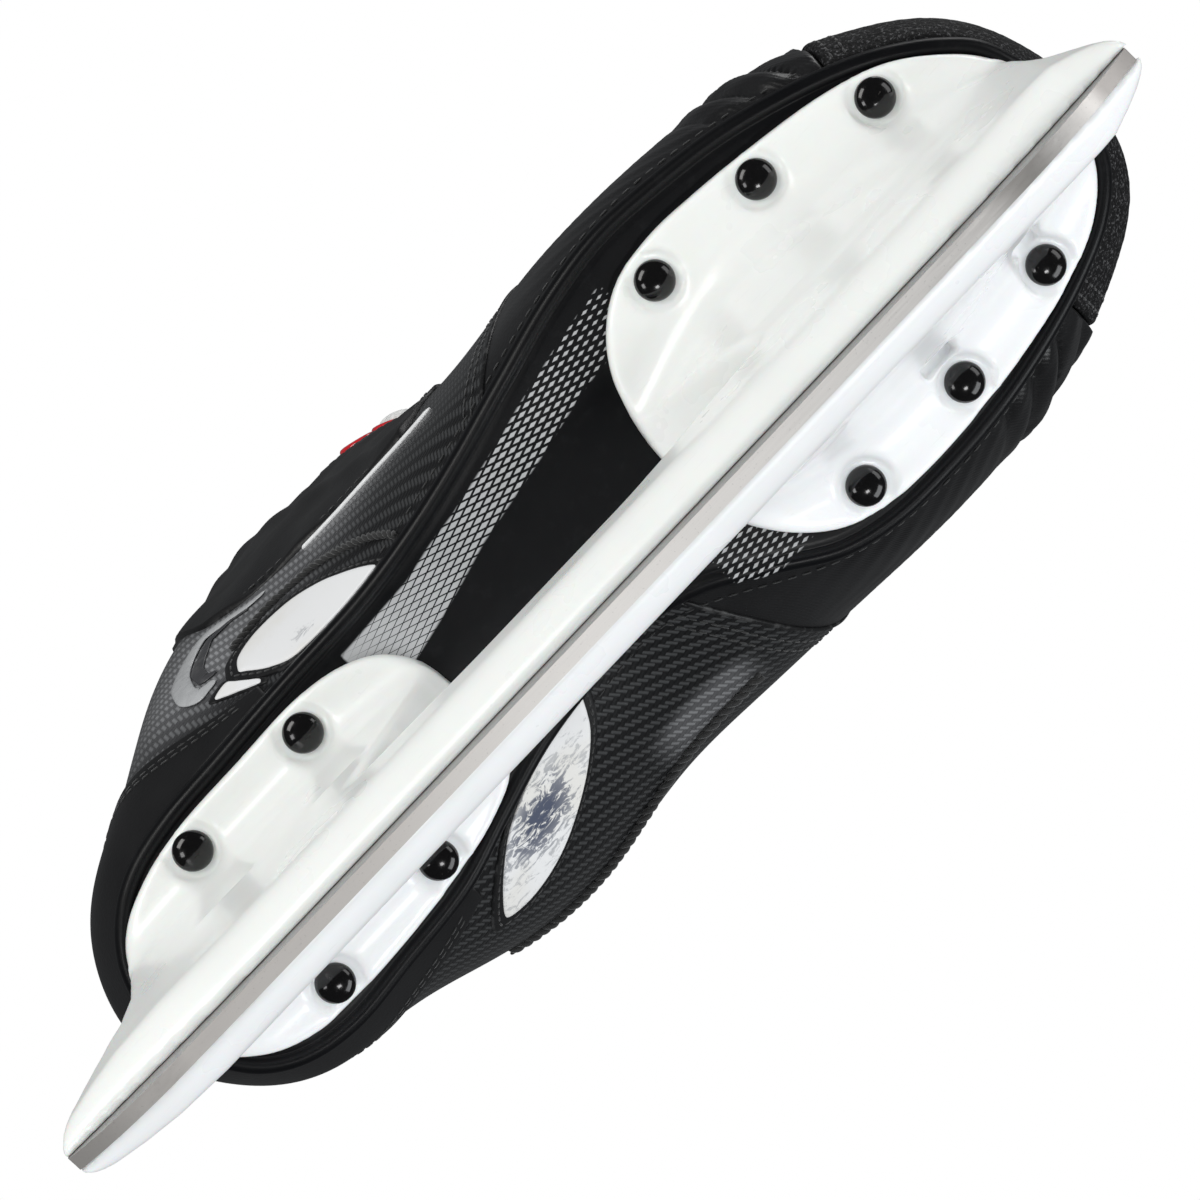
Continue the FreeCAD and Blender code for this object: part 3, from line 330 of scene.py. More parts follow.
# ------------------------------------------------------------------ the boot's skin
# The skin is a net of points (x, y, z): 28 columns round the boot, from the heel (0) along the
# lateral side (1-13) to the toe (14) and back along the medial side (15-27); six rows (0-5)
# from the sole up to the top edge.
HEEL = [(-118.5,3.8,70),(-123.5,4.0,80),(-124.5,4.0,95),(-116.5,4.2,140),(-107.5,4.3,180),(-107.5,4.4,210)]
TOE = [(134.0,4.6,62),(137.6,5.0,70),(137.2,5.2,84),(131.5,5.0,97),(122.0,4.6,104.5),(108.0,4.3,108)]
LATERAL = [
    [(-113,-12.6,70),(-116.5,-15.2,80),(-117,-15.0,97),(-110,-10.8,140),(-102.5,-9.0,180),(-102,-8.5,208)],
    [(-99,-22.8,70),(-101,-27.2,80),(-102,-26.2,98),(-98,-22.5,140),(-93,-20.5,180),(-92,-20,204)],
    [(-78,-26,70),(-79,-31.5,80),(-80,-36.6,98),(-80,-35,138),(-76,-32,178),(-74,-31.5,200)],
    [(-55,-27.2,70),(-55,-31.5,80),(-56,-37.2,100),(-56,-40.4,140),(-53,-37.8,180),(-50,-36,201)],
    [(-33,-27.8,69.9),(-33,-32,80),(-33,-37.4,100),(-31,-40.6,138),(-25,-38.2,182),(-20,-35,208)],
    [(-12,-31,68.1),(-12,-35.5,78),(-12,-39.0,98),(-9.5,-39.2,132),(-4,-36.5,170),(1,-29.5,192)],
    [(10,-36,64.8),(10,-40,74),(10,-41.1,94),(11,-39.6,122),(13.5,-33,151),(16.5,-22.5,166)],
    [(35,-42.2,62),(35,-45.2,73),(35,-45.3,91),(35,-40,112),(35.5,-28,131),(36,-18.5,140)],
    [(58,-44.3,62),(58,-47.0,72),(58,-45.4,89),(58,-38,106),(57.5,-25,118.5),(57,-14,124)],
    [(80,-41.2,62),(80,-44.7,71),(80,-43.6,87),(79,-34,103),(78,-18.5,112),(76,-7.5,115)],
    [(98,-36.4,62),(98.5,-40.6,70),(98,-40.3,85),(94.5,-31,100),(91,-13.5,108.6),(87,4,111)],
    [(113,-30.0,62),(115,-33.2,70),(114,-32.2,84),(109.5,-24.5,97.5),(103.5,-10.5,106.3),(97,4.2,109.5)],
    [(128,-18,62),(131,-19.0,70),(130.3,-18.1,84),(124.5,-13,97),(115.5,-4.5,104.6),(104,4.3,108.4)],
]
MEDIAL = [
    [(129.3,19.5,62),(132.3,24.0,70),(131.6,26.6,84),(125,20,97),(116,12.6,104.6),(104,4.3,108.4)],
    [(114.5,28.5,62),(116,34.6,70),(115.6,38.2,84),(110.5,31,97.5),(104,18.8,106.3),(97,4.2,109.5)],
    [(98,33.5,62),(98.5,40.5,70),(98.5,45.2,85),(95,38,100),(91,21.5,108.6),(87,4,111)],
    [(80,36.6,62),(80,44.0,71),(80,48.4,87),(79,41.5,103),(78,26.5,112),(76,15.5,115)],
    [(58,37.0,62),(58,45.0,72),(58,49.2,89),(58,44.5,106),(57.5,33,118.5),(57,22.5,124)],
    [(35,30.5,62),(35,40.5,73),(35,48.7,91),(35,47.5,112),(35.5,37,131),(36,27,140)],
    [(10,16.6,64.8),(10,30.5,74),(10,46.7,93),(11,49,120),(13.5,42.5,150),(16.5,31,166)],
    [(-12,16.0,68.1),(-12,30.5,77),(-12,46.8,97),(-9.5,49.6,128),(-4,45.5,170),(1,37,192)],
    [(-33,19.4,69.9),(-33,33,79),(-33,49.2,99),(-31,51.6,130),(-25,47.0,182),(-20,43.5,208)],
    [(-55,26.0,70),(-55,36,80),(-56,48.3,99),(-56,50.6,132),(-53,46,180),(-50,44,201)],
    [(-78,28.4,70),(-79,35,80),(-80,41.6,97),(-80,43.5,134),(-76,40.5,178),(-74,40,200)],
    [(-99,28,70),(-101,33.4,80),(-102,35.0,95),(-98,31.5,140),(-93,29,180),(-92,28.5,204)],
    [(-113,20,70),(-116.5,22.8,80),(-117,23.3,97),(-110,19.5,140),(-102.5,17.5,180),(-102,17,208)],
]
NET = np.array([HEEL] + LATERAL + [TOE] + MEDIAL, float)
COLUMNS = len(NET)
TOE_COLUMN = COLUMNS / 2
TOP_ROW = 5
COLUMN_SLOPES = np.einsum("ij,jrk->irk", slope_matrix(COLUMNS, closed=True), NET)
ROW_SLOPES = slope_matrix(TOP_ROW + 1, closed=False)
SKIN_LIFT = np.array([0, 0, 0.05])


def skin(col, row):
    """Points on the skin at fractional columns and rows."""
    col, row = np.broadcast_arrays(np.asarray(col, float),
                                   np.clip(np.asarray(row, float), 0, TOP_ROW))
    i = np.floor(col).astype(int) % COLUMNS
    j = (i + 1) % COLUMNS
    profile = hermite((col - np.floor(col))[..., None, None], NET[i], COLUMN_SLOPES[i],
                      NET[j], COLUMN_SLOPES[j])
    slopes = np.einsum("ab,...bk->...ak", ROW_SLOPES, profile)
    k = np.minimum(np.floor(row).astype(int), TOP_ROW - 1)

    def pick(values, index):
        index = index[..., None, None].repeat(3, -1)
        return np.take_along_axis(values, index, axis=-2)[..., 0, :]
    return hermite((row - k)[..., None], pick(profile, k), pick(slopes, k),
                   pick(profile, k + 1), pick(slopes, k + 1))


def from_toe(col):
    return np.abs(np.mod(col, COLUMNS) - TOE_COLUMN)


def near_crest(col):
    """1 over the toes, where both sides meet along a crest; 0 elsewhere."""
    return smoothstep((3.1 - from_toe(col)) / 0.3)


def raw_normal(col, row):
    col, row = np.broadcast_arrays(np.asarray(col, float), np.asarray(row, float))
    row = np.minimum(row, TOP_ROW - 0.25 * near_crest(col))
    step = 0.02
    below, above = np.maximum(0, row - step), np.minimum(TOP_ROW, row + step)
    return unit(np.cross(skin(col + step, row) - skin(col - step, row),
                         skin(col, above) - skin(col, below)))


def skin_normal(col, row):
    """Outward normal of the skin; both sides share it on the crest over the toes."""
    col, row = np.broadcast_arrays(np.asarray(col, float), np.asarray(row, float))
    own = raw_normal(col, row)
    other = raw_normal(COLUMNS - col, row)
    shared = unit(np.stack([(own[..., 0] + other[..., 0]) / 2, np.zeros_like(row),
                            (own[..., 2] + other[..., 2]) / 2], -1))
    toe = smoothstep((1.6 - from_toe(col)) / 0.8)[..., None]
    shared = shared * (1 - toe) + np.array([0.15, 0, 0.9887]) * toe
    share = (np.clip(row - 4.0, 0, 1) * near_crest(col))[..., None]
    return unit(own * (1 - share) + shared * share)


def on_skin(col, row, height):
    """Points at a height off the skin; over the toes both sides are drawn to meet."""
    col, row, height = np.broadcast_arrays(*(np.asarray(v, float) for v in (col, row, height)))

    def lifted(at_col, at_row):
        return skin(at_col, at_row) + skin_normal(at_col, at_row) * height[..., None]
    top = np.full_like(row, TOP_ROW)
    gap = lifted(COLUMNS - col, top) - lifted(col, top)
    share = 0.5 * np.clip(row - 4.0, 0, 1) ** 2 * near_crest(col)
    return lifted(col, row) + gap * share[..., None] + SKIN_LIFT


def mirror(side, col):
    """A lateral column, or the medial column opposite it."""
    return col if side == "lateral" else COLUMNS - col


def lateral_seam(rise):
    """Column of the seam between quarter and vamp, at a share of the boot's height."""
    return 7.1 + 2.1 * rise ** 1.15


def medial_seam(rise):
    return 20.95 - 2.15 * rise ** 1.15


def as_function(value):
    return value if callable(value) else lambda t: np.full_like(t, float(value))


def sheet(name, cols, rows, heights, mat, step=1.3, edge=0.9, relief=None, sides="LRBT",
          fields=None, **kw):
    """A panel of skin between two heights, its named sides rounded over, with UVs in mm.
    Column limits may depend on the way up, row limits on the way across."""
    col0, col1, row0, row1 = map(as_function, (*cols, *rows))
    low, high = heights

    def place(across, up):
        return (col0(up) + (col1(up) - col0(up)) * across,
                row0(across) + (row1(across) - row0(across)) * up)
    line = np.linspace(0, 1, 41)
    middle = np.full_like(line, 0.5)
    shares = [samples(arc_length(skin(*place(*way)))[-1], step, edge)
              for way in ((line, middle), (middle, line))]
    col, row = place(*np.meshgrid(*shares, indexing="ij"))
    points = skin(col, row)
    along, across = arc_length(points), arc_length(points, axis=1)
    dist = edge_distance(along, across, sides)
    inward = np.clip(dist / edge, 0, 1)
    height = high - min(edge, (high - low) * 0.9) * (1 - round_over(inward))
    if relief:
        height = height + relief(col, row, points) * inward
    verts, faces = closed_panel(on_skin(col, row, height), on_skin(col, row, low))
    mean_along = np.broadcast_to(along.mean(axis=1, keepdims=True), across.shape)
    uv = np.stack([mean_along, across], -1).reshape(-1, 2)
    attrs = {"edge_mm": np.tile(dist.ravel(), 2)}
    for key, field in (fields or {}).items():
        attrs[key] = np.tile(field(col, row, points).ravel(), 2)
    build(name, verts, faces, mat, uv=np.tile(uv, (2, 1)), attrs=attrs, **kw)


def patch(name, outline, heights, mat, scuff=None, **kw):
    """A panel inside a closed outline of (column, row): rings shrink from its rounded rim."""
    rim_width = 1.1
    low, high = heights
    line = closed_curve(outline, 10)
    middle = np.mean(outline, axis=0)
    size = np.linalg.norm(skin(line[:, 0], line[:, 1]) - skin(*middle), axis=1).mean()
    shares = np.concatenate([EDGE_SHARES, np.linspace(1.0, size / rim_width, 16)[1:]])
    shares = np.clip(shares * rim_width / size, 0, 0.997)[:, None]
    col, row = (line[None, :, k] * (1 - shares) + middle[k] * shares for k in (0, 1))
    inward = np.clip(shares * size / rim_width, 0, 1)
    height = high - min(high - low, rim_width) * 0.9 * (1 - round_over(inward))
    verts = np.concatenate([on_skin(col, row, h).reshape(-1, 3) for h in (height, low)])
    rings, seg = col.shape
    shift = rings * seg
    bands = ring_faces(rings, seg).reshape(-1, seg, 4)
    bands = np.stack([bands, bands[..., [0, 3, 2, 1]] + shift], 1)
    here = np.arange(seg)
    after = np.roll(here, -1)
    rim = np.stack([here, here + shift, after + shift, after], -1)
    cap = (rings - 1) * seg + here
    faces = bands.reshape(-1, 4).tolist() + rim.tolist()
    faces += [cap.tolist(), (cap + shift)[::-1].tolist()]
    attrs = {"edge_mm": np.tile(np.broadcast_to(shares * size, col.shape).ravel(), 2)}
    if scuff:
        attrs["scuff"] = np.tile(scuff(col, row).ravel(), 2)
    build(name, verts, faces, mat, uv=verts[:, [0, 2]], attrs=attrs, **kw)


def grow(outline, factor):
    middle = np.mean(outline, axis=0)
    grown = middle + (np.array(outline) - middle) * factor
    grown[:, 1] = np.maximum(0.02, grown[:, 1])
    return grown


def path(cols, rows):
    return np.stack(np.broadcast_arrays(cols, rows), -1)


def skin_path(stations, count):
    """Columns and rows of a smooth line through (column, row) stations."""
    at = np.linspace(0, 1, len(stations))
    line = np.linspace(0, 1, count)
    return [smooth_curve(path(at, values))(line) for values in np.transpose(stations)]


def skin_line(stations, height, count=160):
    col, row = skin_path(stations, count)
    return on_skin(col, row, height), skin_normal(col, row)


# ------------------------------------------------------------------ stitches and cords
# Each stitch: share of its length from the middle, share of its radius
STITCH_PROFILE = np.array([(-0.5, 0.35), (-0.38, 0.85), (-0.15, 1.0),
                           (0.15, 1.0), (0.38, 0.85), (0.5, 0.35)])
STITCH_SEG = 6
STITCH_FLAT = 0.75


def sew(name, lengths, place, normal, mat, pitch=2.6, length=1.9, radius=0.24, **kw):
    """Rounded stitches as one mesh; place and normal give points by the length run."""
    count = max(1, int(lengths[-1] / pitch))
    at = (np.arange(count) + 0.5) * lengths[-1] / count
    along = unit(place(at + 0.3) - place(at - 0.3))
    side = unit(np.cross(along, normal(at)))
    rings = circle(side, np.cross(side, along) * STITCH_FLAT, STITCH_SEG)
    reach, width = STITCH_PROFILE.T[:, :, None, None]
    verts = (place(at)[:, None, None] + along[:, None, None] * reach * length
             + rings[:, None] * radius * width)
    rows = len(STITCH_PROFILE)
    faces = repeat_faces(capped_faces(rows, STITCH_SEG), count, rows * STITCH_SEG)
    build(name, verts.reshape(-1, 3), faces, mat, **kw)


def sew_skin(name, stations, height, mat, **kw):
    """Stitches along a line of (column, row) stations, at a height off the skin."""
    col, row = skin_path(stations, 600)
    lengths = arc_length(on_skin(col, row, height))

    def where(at):
        return np.interp(at, lengths, col), np.interp(at, lengths, row)
    sew(name, lengths, lambda at: on_skin(*where(at), height),
        lambda at: skin_normal(*where(at)), mat, **kw)


def sew_line(name, points, normals, mat, **kw):
    lengths = arc_length(points)
    sew(name, lengths, lambda at: interp_points(at, lengths, points),
        lambda at: interp_points(at, lengths, normals), mat, length=1.8, **kw)


def rope(name, stations, radius, mat):
    """Two strands wound round each other along a line on the skin."""
    points, normals = skin_line(stations, radius * 0.6, 420)
    sideways = np.cross(unit(np.gradient(points, axis=0)), normals)
    turn_length = 2.2 * radius * 2
    for k in (0, 1):
        turn = (arc_length(points) * math.tau / turn_length + k * math.pi)[:, None]
        strand = points + (normals * np.cos(turn) + sideways * np.sin(turn)) * radius * 0.5
        tube("%s_%d" % (name, k), strand, radius * 0.62, mat, seg=8)


# ------------------------------------------------------------------ shader graphs
class Graph:
    """Short names for the shader nodes used below."""

    def __init__(self, tree):
        self.tree = tree
        tree.nodes.clear()

    def new(self, kind, **props):
        node = self.tree.nodes.new(kind)
        for key, value in props.items():
            setattr(node, key, value)
        return node

    def put(self, socket, value):
        if isinstance(value, bpy.types.NodeSocket):
            self.tree.links.new(value, socket)
        elif isinstance(value, tuple):
            alpha = (1.0,) if len(value) == 3 and len(socket.default_value) == 4 else ()
            socket.default_value = value + alpha
        else:
            socket.default_value = value

    def fill(self, node, values):
        """Sets inputs by number or name."""
        for key, value in values.items():
            self.put(node.inputs[key], value)
        return node

    def math(self, operation, *values):
        node = self.new("ShaderNodeMath", operation=operation)
        return self.fill(node, dict(enumerate(values))).outputs[0]

    def add(self, first, second):
        return self.math("ADD", first, second)

    def sub(self, first, second):
        return self.math("SUBTRACT", first, second)

    def mul(self, first, second):
        return self.math("MULTIPLY", first, second)

    def div(self, first, second):
        return self.math("DIVIDE", first, second)

    def sum(self, first, second, weights):
        """Weighted sum; a weight of 1 needs no node."""
        return self.add(*(value if weight == 1 else self.mul(value, weight)
                          for value, weight in zip((first, second), weights)))

    def stretch(self, vector, factors):
        node = self.new("ShaderNodeVectorMath", operation="MULTIPLY")
        return self.fill(node, {0: vector, 1: factors}).outputs[0]

    def mix(self, mask, start, to, share=None):
        """From one colour to another by a mask, which share scales down."""
        if share is not None:
            mask = self.mul(mask, share)
        node = self.new("ShaderNodeMix", data_type="RGBA")
        return self.fill(node, {0: mask, 6: start, 7: to}).outputs[2]

    def mix_value(self, mask, start, to):
        node = self.new("ShaderNodeMix", data_type="FLOAT")
        return self.fill(node, {0: mask, 2: start, 3: to}).outputs[0]

    def ramp(self, value, span, to=(0.0, 1.0)):
        node = self.new("ShaderNodeMapRange", interpolation_type="SMOOTHSTEP")
        return self.fill(node, dict(enumerate((value, *span, *to)))).outputs[0]

    def coords(self, kind="Object"):
        return self.new("ShaderNodeTexCoord").outputs[kind]

    def xyz(self, vector):
        return self.fill(self.new("ShaderNodeSeparateXYZ"), {0: vector}).outputs

    def noise(self, vector, scale, detail=4.0, rough=0.5, distortion=0.0):
        values = {"Vector": vector, "Scale": scale, "Detail": detail, "Roughness": rough,
                  "Distortion": distortion}
        return self.fill(self.new("ShaderNodeTexNoise"), values).outputs["Fac"]

    def cells(self, vector, scale):
        node = self.new("ShaderNodeTexVoronoi", feature="F1")
        return self.fill(node, {"Vector": vector, "Scale": scale}).outputs["Distance"]

    def attr(self, name):
        return self.new("ShaderNodeAttribute", attribute_name=name).outputs["Fac"]

    def bump(self, height, strength, distance):
        values = {"Strength": strength, "Distance": distance, "Height": height}
        return self.fill(self.new("ShaderNodeBump"), values).outputs[0]


class Shader(Graph):
    """A material with one Principled BSDF."""
    INPUTS = {"color": "Base Color", "rough": "Roughness", "metal": "Metallic",
              "normal": "Normal", "coat": "Coat Weight", "coat_rough": "Coat Roughness",
              "sheen": "Sheen Weight", "sheen_rough": "Sheen Roughness",
              "spec": "Specular IOR Level", "sss": "Subsurface Weight",
              "sss_scale": "Subsurface Scale"}

    def __init__(self, name):
        self.mat = bpy.data.materials.new(name)
        self.mat.use_nodes = True
        super().__init__(self.mat.node_tree)
        self.out = self.new("ShaderNodeOutputMaterial")
        self.bsdf = self.new("ShaderNodeBsdfPrincipled")
        self.put(self.out.inputs[0], self.bsdf.outputs[0])

    def finish(self, **values):
        self.fill(self.bsdf, {self.INPUTS[key]: value for key, value in values.items()})
        return self.mat


# ------------------------------------------------------------------ materials
def holder_plastic():
    """White plastic with painted shade that makes the lateral side darker and warmer, with stains and
    scratches along x.
    """
    n = Shader("holder_plastic")
    p = n.coords()
    blot = n.noise(p, scale=60.0, detail=3.0)
    fine = n.noise(n.stretch(p, factors=(1.0, 3.0, 1.0)), scale=900.0, detail=3.0, rough=0.6)
    streaks = n.noise(n.stretch(p, factors=(14.0, 300.0, 60.0)), scale=12.0, detail=2.0,
                      rough=0.5, distortion=0.6)
    scratch = n.ramp(streaks, span=(0.66, 0.72))
    # Painted shade: the lateral side is coloured darker and warmer than the medial side
    medial = n.ramp(n.xyz(p)[1], span=(-0.004, 0.006))
    color = n.mix(medial, start=(0.885, 0.895, 0.865), to=(0.93, 0.935, 0.94))
    color = n.mix(n.ramp(blot, span=(0.45, 0.7)), color, to=(0.70, 0.70, 0.66), share=0.10)
    color = n.mix(scratch, color, to=(0.55, 0.54, 0.52), share=0.10)
    return n.finish(color=color, rough=n.ramp(blot, span=(0.3, 0.7), to=(0.26, 0.36)),
                    coat=0.3, coat_rough=0.12, sss=0.12, sss_scale=0.004,
                    normal=n.bump(fine, strength=0.05, distance=0.0001))


def runner_steel():
    """Ground steel, brushed along its length, with painted light: a painted dark reflection band where the
    toe curve starts, a painted highlight on the tip, and painted shade at the very end, over the rear half
    and on the sides.
    """
    n = Shader("runner_steel")
    p = n.coords()
    x = n.xyz(p)[0]
    along = n.noise(n.stretch(p, factors=(30.0, 4000.0, 4000.0)), scale=1.0, detail=3.0, rough=0.6)
    across = n.noise(n.stretch(p, factors=(5200.0, 160.0, 60.0)), scale=1.0, detail=2.0, rough=0.6)
    cloud = n.noise(n.stretch(p, factors=(26.0, 26.0, 26.0)), scale=1.0, detail=2.0, rough=0.5)
    # Painted reflection of the toe curve: a dark band where it starts, a painted highlight on the tip and
    # painted shade at the very end
    toe = n.ramp(x, span=(0.098, 0.110))
    tip = n.ramp(x, span=(0.112, 0.124))
    dark = n.mul(toe, n.sub(1.0, tip))
    color = n.mix(n.sum(along, cloud, weights=(0.5, 0.5)),
                  start=(0.74, 0.71, 0.68), to=(0.93, 0.905, 0.875))
    color = n.mix(dark, color, to=(0.16, 0.145, 0.13), share=0.6)
    color = n.mix(tip, color, to=(0.86, 0.83, 0.80), share=0.35)
    color = n.mix(n.ramp(x, span=(0.1285, 0.1335)), color, to=(0.22, 0.20, 0.19), share=0.7)
    # Painted shade over the rear half of the steel
    rear = n.sub(1.0, n.ramp(x, span=(-0.075, 0.005)))
    color = n.mix(rear, color, to=(0.33, 0.305, 0.285), share=0.55)
    speck = n.ramp(n.noise(p, scale=1600.0, detail=2.0, rough=0.7), span=(0.62, 0.75))
    color = n.mix(speck, color, to=(0.2, 0.19, 0.18), share=0.25)
    brushed = n.sum(along, across, weights=(0.6, 0.4))
    # Painted shade: the runner's sides are coloured darker than its ground face
    facing = n.xyz(n.new("ShaderNodeNewGeometry").outputs["Normal"])[1]
    flank = n.ramp(n.math("ABSOLUTE", facing), span=(0.5, 0.9))
    color = n.mix(flank, color, n.mix(along, start=(0.30, 0.296, 0.29), to=(0.46, 0.455, 0.45)))
    return n.finish(color=color, metal=n.mix_value(flank, start=0.68, to=0.45),
                    rough=n.ramp(along, span=(0.3, 0.7), to=(0.33, 0.45)),
                    normal=n.bump(brushed, strength=0.12, distance=0.00005))


def rivet_black():
    """Glossy black with small chips."""
    n = Shader("rivet_black_gloss")
    p = n.coords()
    grain = n.noise(p, scale=700.0, detail=3.0)
    chip = n.ramp(n.noise(p, scale=1300.0, detail=3.0, rough=0.6), span=(0.70, 0.74))
    color = n.mix(chip, start=(0.004, 0.0038, 0.004), to=(0.12, 0.11, 0.10), share=0.4)
    return n.finish(color=color, rough=n.ramp(grain, span=(0.3, 0.7), to=(0.10, 0.2)),
                    coat=0.45, coat_rough=0.06, spec=0.3,
                    normal=n.bump(grain, strength=0.06, distance=0.0001))


def zinc():
    n = Shader("zinc_plated")
    grain = n.noise(n.coords(), scale=900.0)
    return n.finish(color=n.mix(grain, start=(0.45, 0.44, 0.41), to=(0.68, 0.67, 0.64)),
                    metal=1.0, rough=n.ramp(grain, span=(0.3, 0.7), to=(0.28, 0.45)),
                    normal=n.bump(grain, strength=0.2, distance=0.00005))


def outsole_print():
    """Black sole with grey diamonds inside the bands given by "band", sized by "dot"."""
    n = Shader("outsole_print")
    p = n.coords()
    x, y, z = n.xyz(p)
    band = n.attr("band")
    pitch_x, pitch_y = 0.0041, 0.00142
    rising = n.math("FRACT", n.add(n.div(x, pitch_x), n.div(y, pitch_y)))
    # The whole number keeps the sum positive before its fraction is taken
    falling = n.math("FRACT", n.add(n.sub(n.div(x, pitch_x), n.div(y, pitch_y)), 100.0))
    from_centre = n.math("MAXIMUM", *(n.math("ABSOLUTE", n.sub(wave, 0.5))
                                      for wave in (rising, falling)))
    half, blur = n.attr("dot"), 0.03
    dots = n.ramp(from_centre, span=(n.sub(half, blur), n.add(half, blur)), to=(1.0, 0.0))
    printed = n.mul(dots, n.ramp(band, span=(-0.02, 0.03)))
    fine = n.noise(p, scale=1800.0, detail=3.0, rough=0.6)
    soft = n.noise(p, scale=45.0, detail=3.0)
    dust = n.ramp(n.noise(p, scale=260.0, detail=5.0, rough=0.7), span=(0.52, 0.75))
    black = n.mix(dust, start=(0.0025, 0.0027, 0.0035), to=(0.08, 0.08, 0.085), share=0.05)
    grey = n.mix(soft, start=(0.34, 0.345, 0.35), to=(0.52, 0.525, 0.53))
    black_rough = n.ramp(soft, span=(0.3, 0.7), to=(0.34, 0.46))
    height = n.sum(fine, printed, weights=(1, 0.6))
    return n.finish(color=n.mix(printed, black, grey),
                    rough=n.mix_value(printed, black_rough, to=0.45),
                    spec=0.24, coat=0.05, coat_rough=0.2,
                    normal=n.bump(height, strength=0.12, distance=0.00008))


def leather(name, rough, coat, dark=(0.0045, 0.0045, 0.005), light=(0.014, 0.014, 0.015),
            lines=False):
    """Synthetic leather, worn pale at its edges; lines adds fine slanting ribs."""
    n = Shader(name)
    p = n.coords()
    cell = n.cells(p, scale=1300.0)
    fine = n.noise(p, scale=2600.0, detail=3.0, rough=0.6)
    cloud = n.noise(p, scale=70.0)
    edge = n.ramp(n.attr("edge_mm"), span=(0.0, 0.7), to=(1.0, 0.0))
    patches = n.ramp(n.noise(p, scale=400.0), span=(0.5, 0.65))
    color = n.mix(cloud, dark, light, share=0.7)
    color = n.mix(n.mul(edge, n.mul(patches, 0.35)), color, to=(0.11, 0.11, 0.11))
    height = n.sum(cell, fine, weights=(0.7, 0.3))
    if lines:
        u, v, _ = n.xyz(n.coords("UV"))
        slant = n.sum(u, v, weights=(1, 0.55))
        wander = n.noise(p, scale=60.0, detail=2.0)
        ribs = n.math("SINE", n.sum(slant, wander, weights=(7.5, 4.0)))
        height = n.sum(height, ribs, weights=(1, 0.28))
    return n.finish(color=color,
                    rough=n.ramp(cloud, span=(0.3, 0.7), to=(rough - 0.06, rough + 0.08)),
                    spec=0.35, coat=coat, coat_rough=0.3,
                    normal=n.bump(height, strength=0.5, distance=0.00012))


def toe_grained():
    n = Shader("toe_grained")
    p = n.coords()
    grain = n.noise(p, scale=1100.0, detail=6.0, rough=0.7)
    cell = n.cells(p, scale=900.0)
    speck = n.ramp(n.noise(p, scale=1500.0, detail=5.0, rough=0.75), span=(0.53, 0.64))
    color = n.mix(speck, start=(0.006, 0.006, 0.0065), to=(0.20, 0.20, 0.205), share=0.6)
    height = n.sum(grain, cell, weights=(1, 0.5))
    return n.finish(color=color, rough=0.66, spec=0.25,
                    normal=n.bump(height, strength=0.9, distance=0.00035))


def weave(n, u, v, pitch):
    """Twill weave: its height, and which strand is on top (two cells in every four)."""
    u, v = n.div(u, pitch), n.div(v, pitch)
    cell_u, cell_v = n.math("FLOOR", u), n.math("FLOOR", v)
    in_u, in_v = n.sub(u, cell_u), n.sub(v, cell_v)
    turn = n.math("FLOORED_MODULO", n.add(cell_u, cell_v), 4.0)
    top = n.math("LESS_THAN", turn, 1.5)
    arch_u = n.math("SINE", n.mul(in_u, math.pi))
    arch_v = n.math("SINE", n.mul(in_v, math.pi))
    return n.mix_value(top, arch_v, arch_u), top


def carbon_twill():
    """Carbon weave turned about 15 degrees, with painted sheen on the strands' crowns and a painted grey
    sheen where "band" is high.
    """
    n = Shader("carbon_twill")
    u, v, _ = n.xyz(n.coords("UV"))
    cosine, sine = 0.966, 0.259
    turned_u = n.sum(u, v, weights=(cosine, sine))
    turned_v = n.sub(n.mul(v, cosine), n.mul(u, sine))
    height, top = weave(n, turned_u, turned_v, pitch=1.25)
    soft = n.noise(n.coords(), scale=55.0, detail=3.0)
    top_shine, base_shine = 0.65, 0.1
    lit = n.mul(n.add(n.mul(top, top_shine), base_shine), height)
    black = n.mix(lit, start=(0.0025, 0.0025, 0.003), to=(0.056, 0.058, 0.06))
    # Painted grey sheen where "band" is high
    band = n.attr("band")
    grey = n.mix(lit, start=(0.12, 0.12, 0.125), to=(0.36, 0.365, 0.375))
    return n.finish(color=n.mix(band, black, grey),
                    rough=n.mix_value(top, start=0.36, to=0.55), spec=0.34, coat=0.36,
                    coat_rough=n.ramp(soft, span=(0.3, 0.7), to=(0.18, 0.26)),
                    normal=n.bump(height, strength=0.55, distance=0.00016))


def white_panel():
    """White leather, yellowed in patches and scuffed where "scuff" is high."""
    n = Shader("white_panel")
    p = n.coords()
    grain = n.noise(p, scale=900.0)
    zone = n.attr("scuff")
    marks = n.noise(n.stretch(p, factors=(1.0, 2.2, 2.2)), scale=230.0, detail=6.0,
                    rough=0.72, distortion=1.2)
    scuffs = n.ramp(n.sum(marks, zone, weights=(1, 0.22)), span=(0.66, 0.74))
    yellowed = n.ramp(n.noise(p, scale=60.0, detail=3.0), span=(0.45, 0.65))
    color = n.mix(yellowed, start=(0.83, 0.83, 0.83), to=(0.74, 0.70, 0.60), share=0.35)
    mark_color = n.mix(n.ramp(zone, span=(0.62, 0.98)),
                       start=(0.36, 0.37, 0.385), to=(0.075, 0.09, 0.14))
    least, gain = 0.12, 0.72
    color = n.mix(n.mul(scuffs, n.add(least, n.mul(zone, gain))), color, mark_color)
    height = n.sum(grain, scuffs, weights=(1, -1.5))
    return n.finish(color=color, rough=0.38, coat=0.3, coat_rough=0.2,
                    normal=n.bump(height, strength=0.3, distance=0.0001))


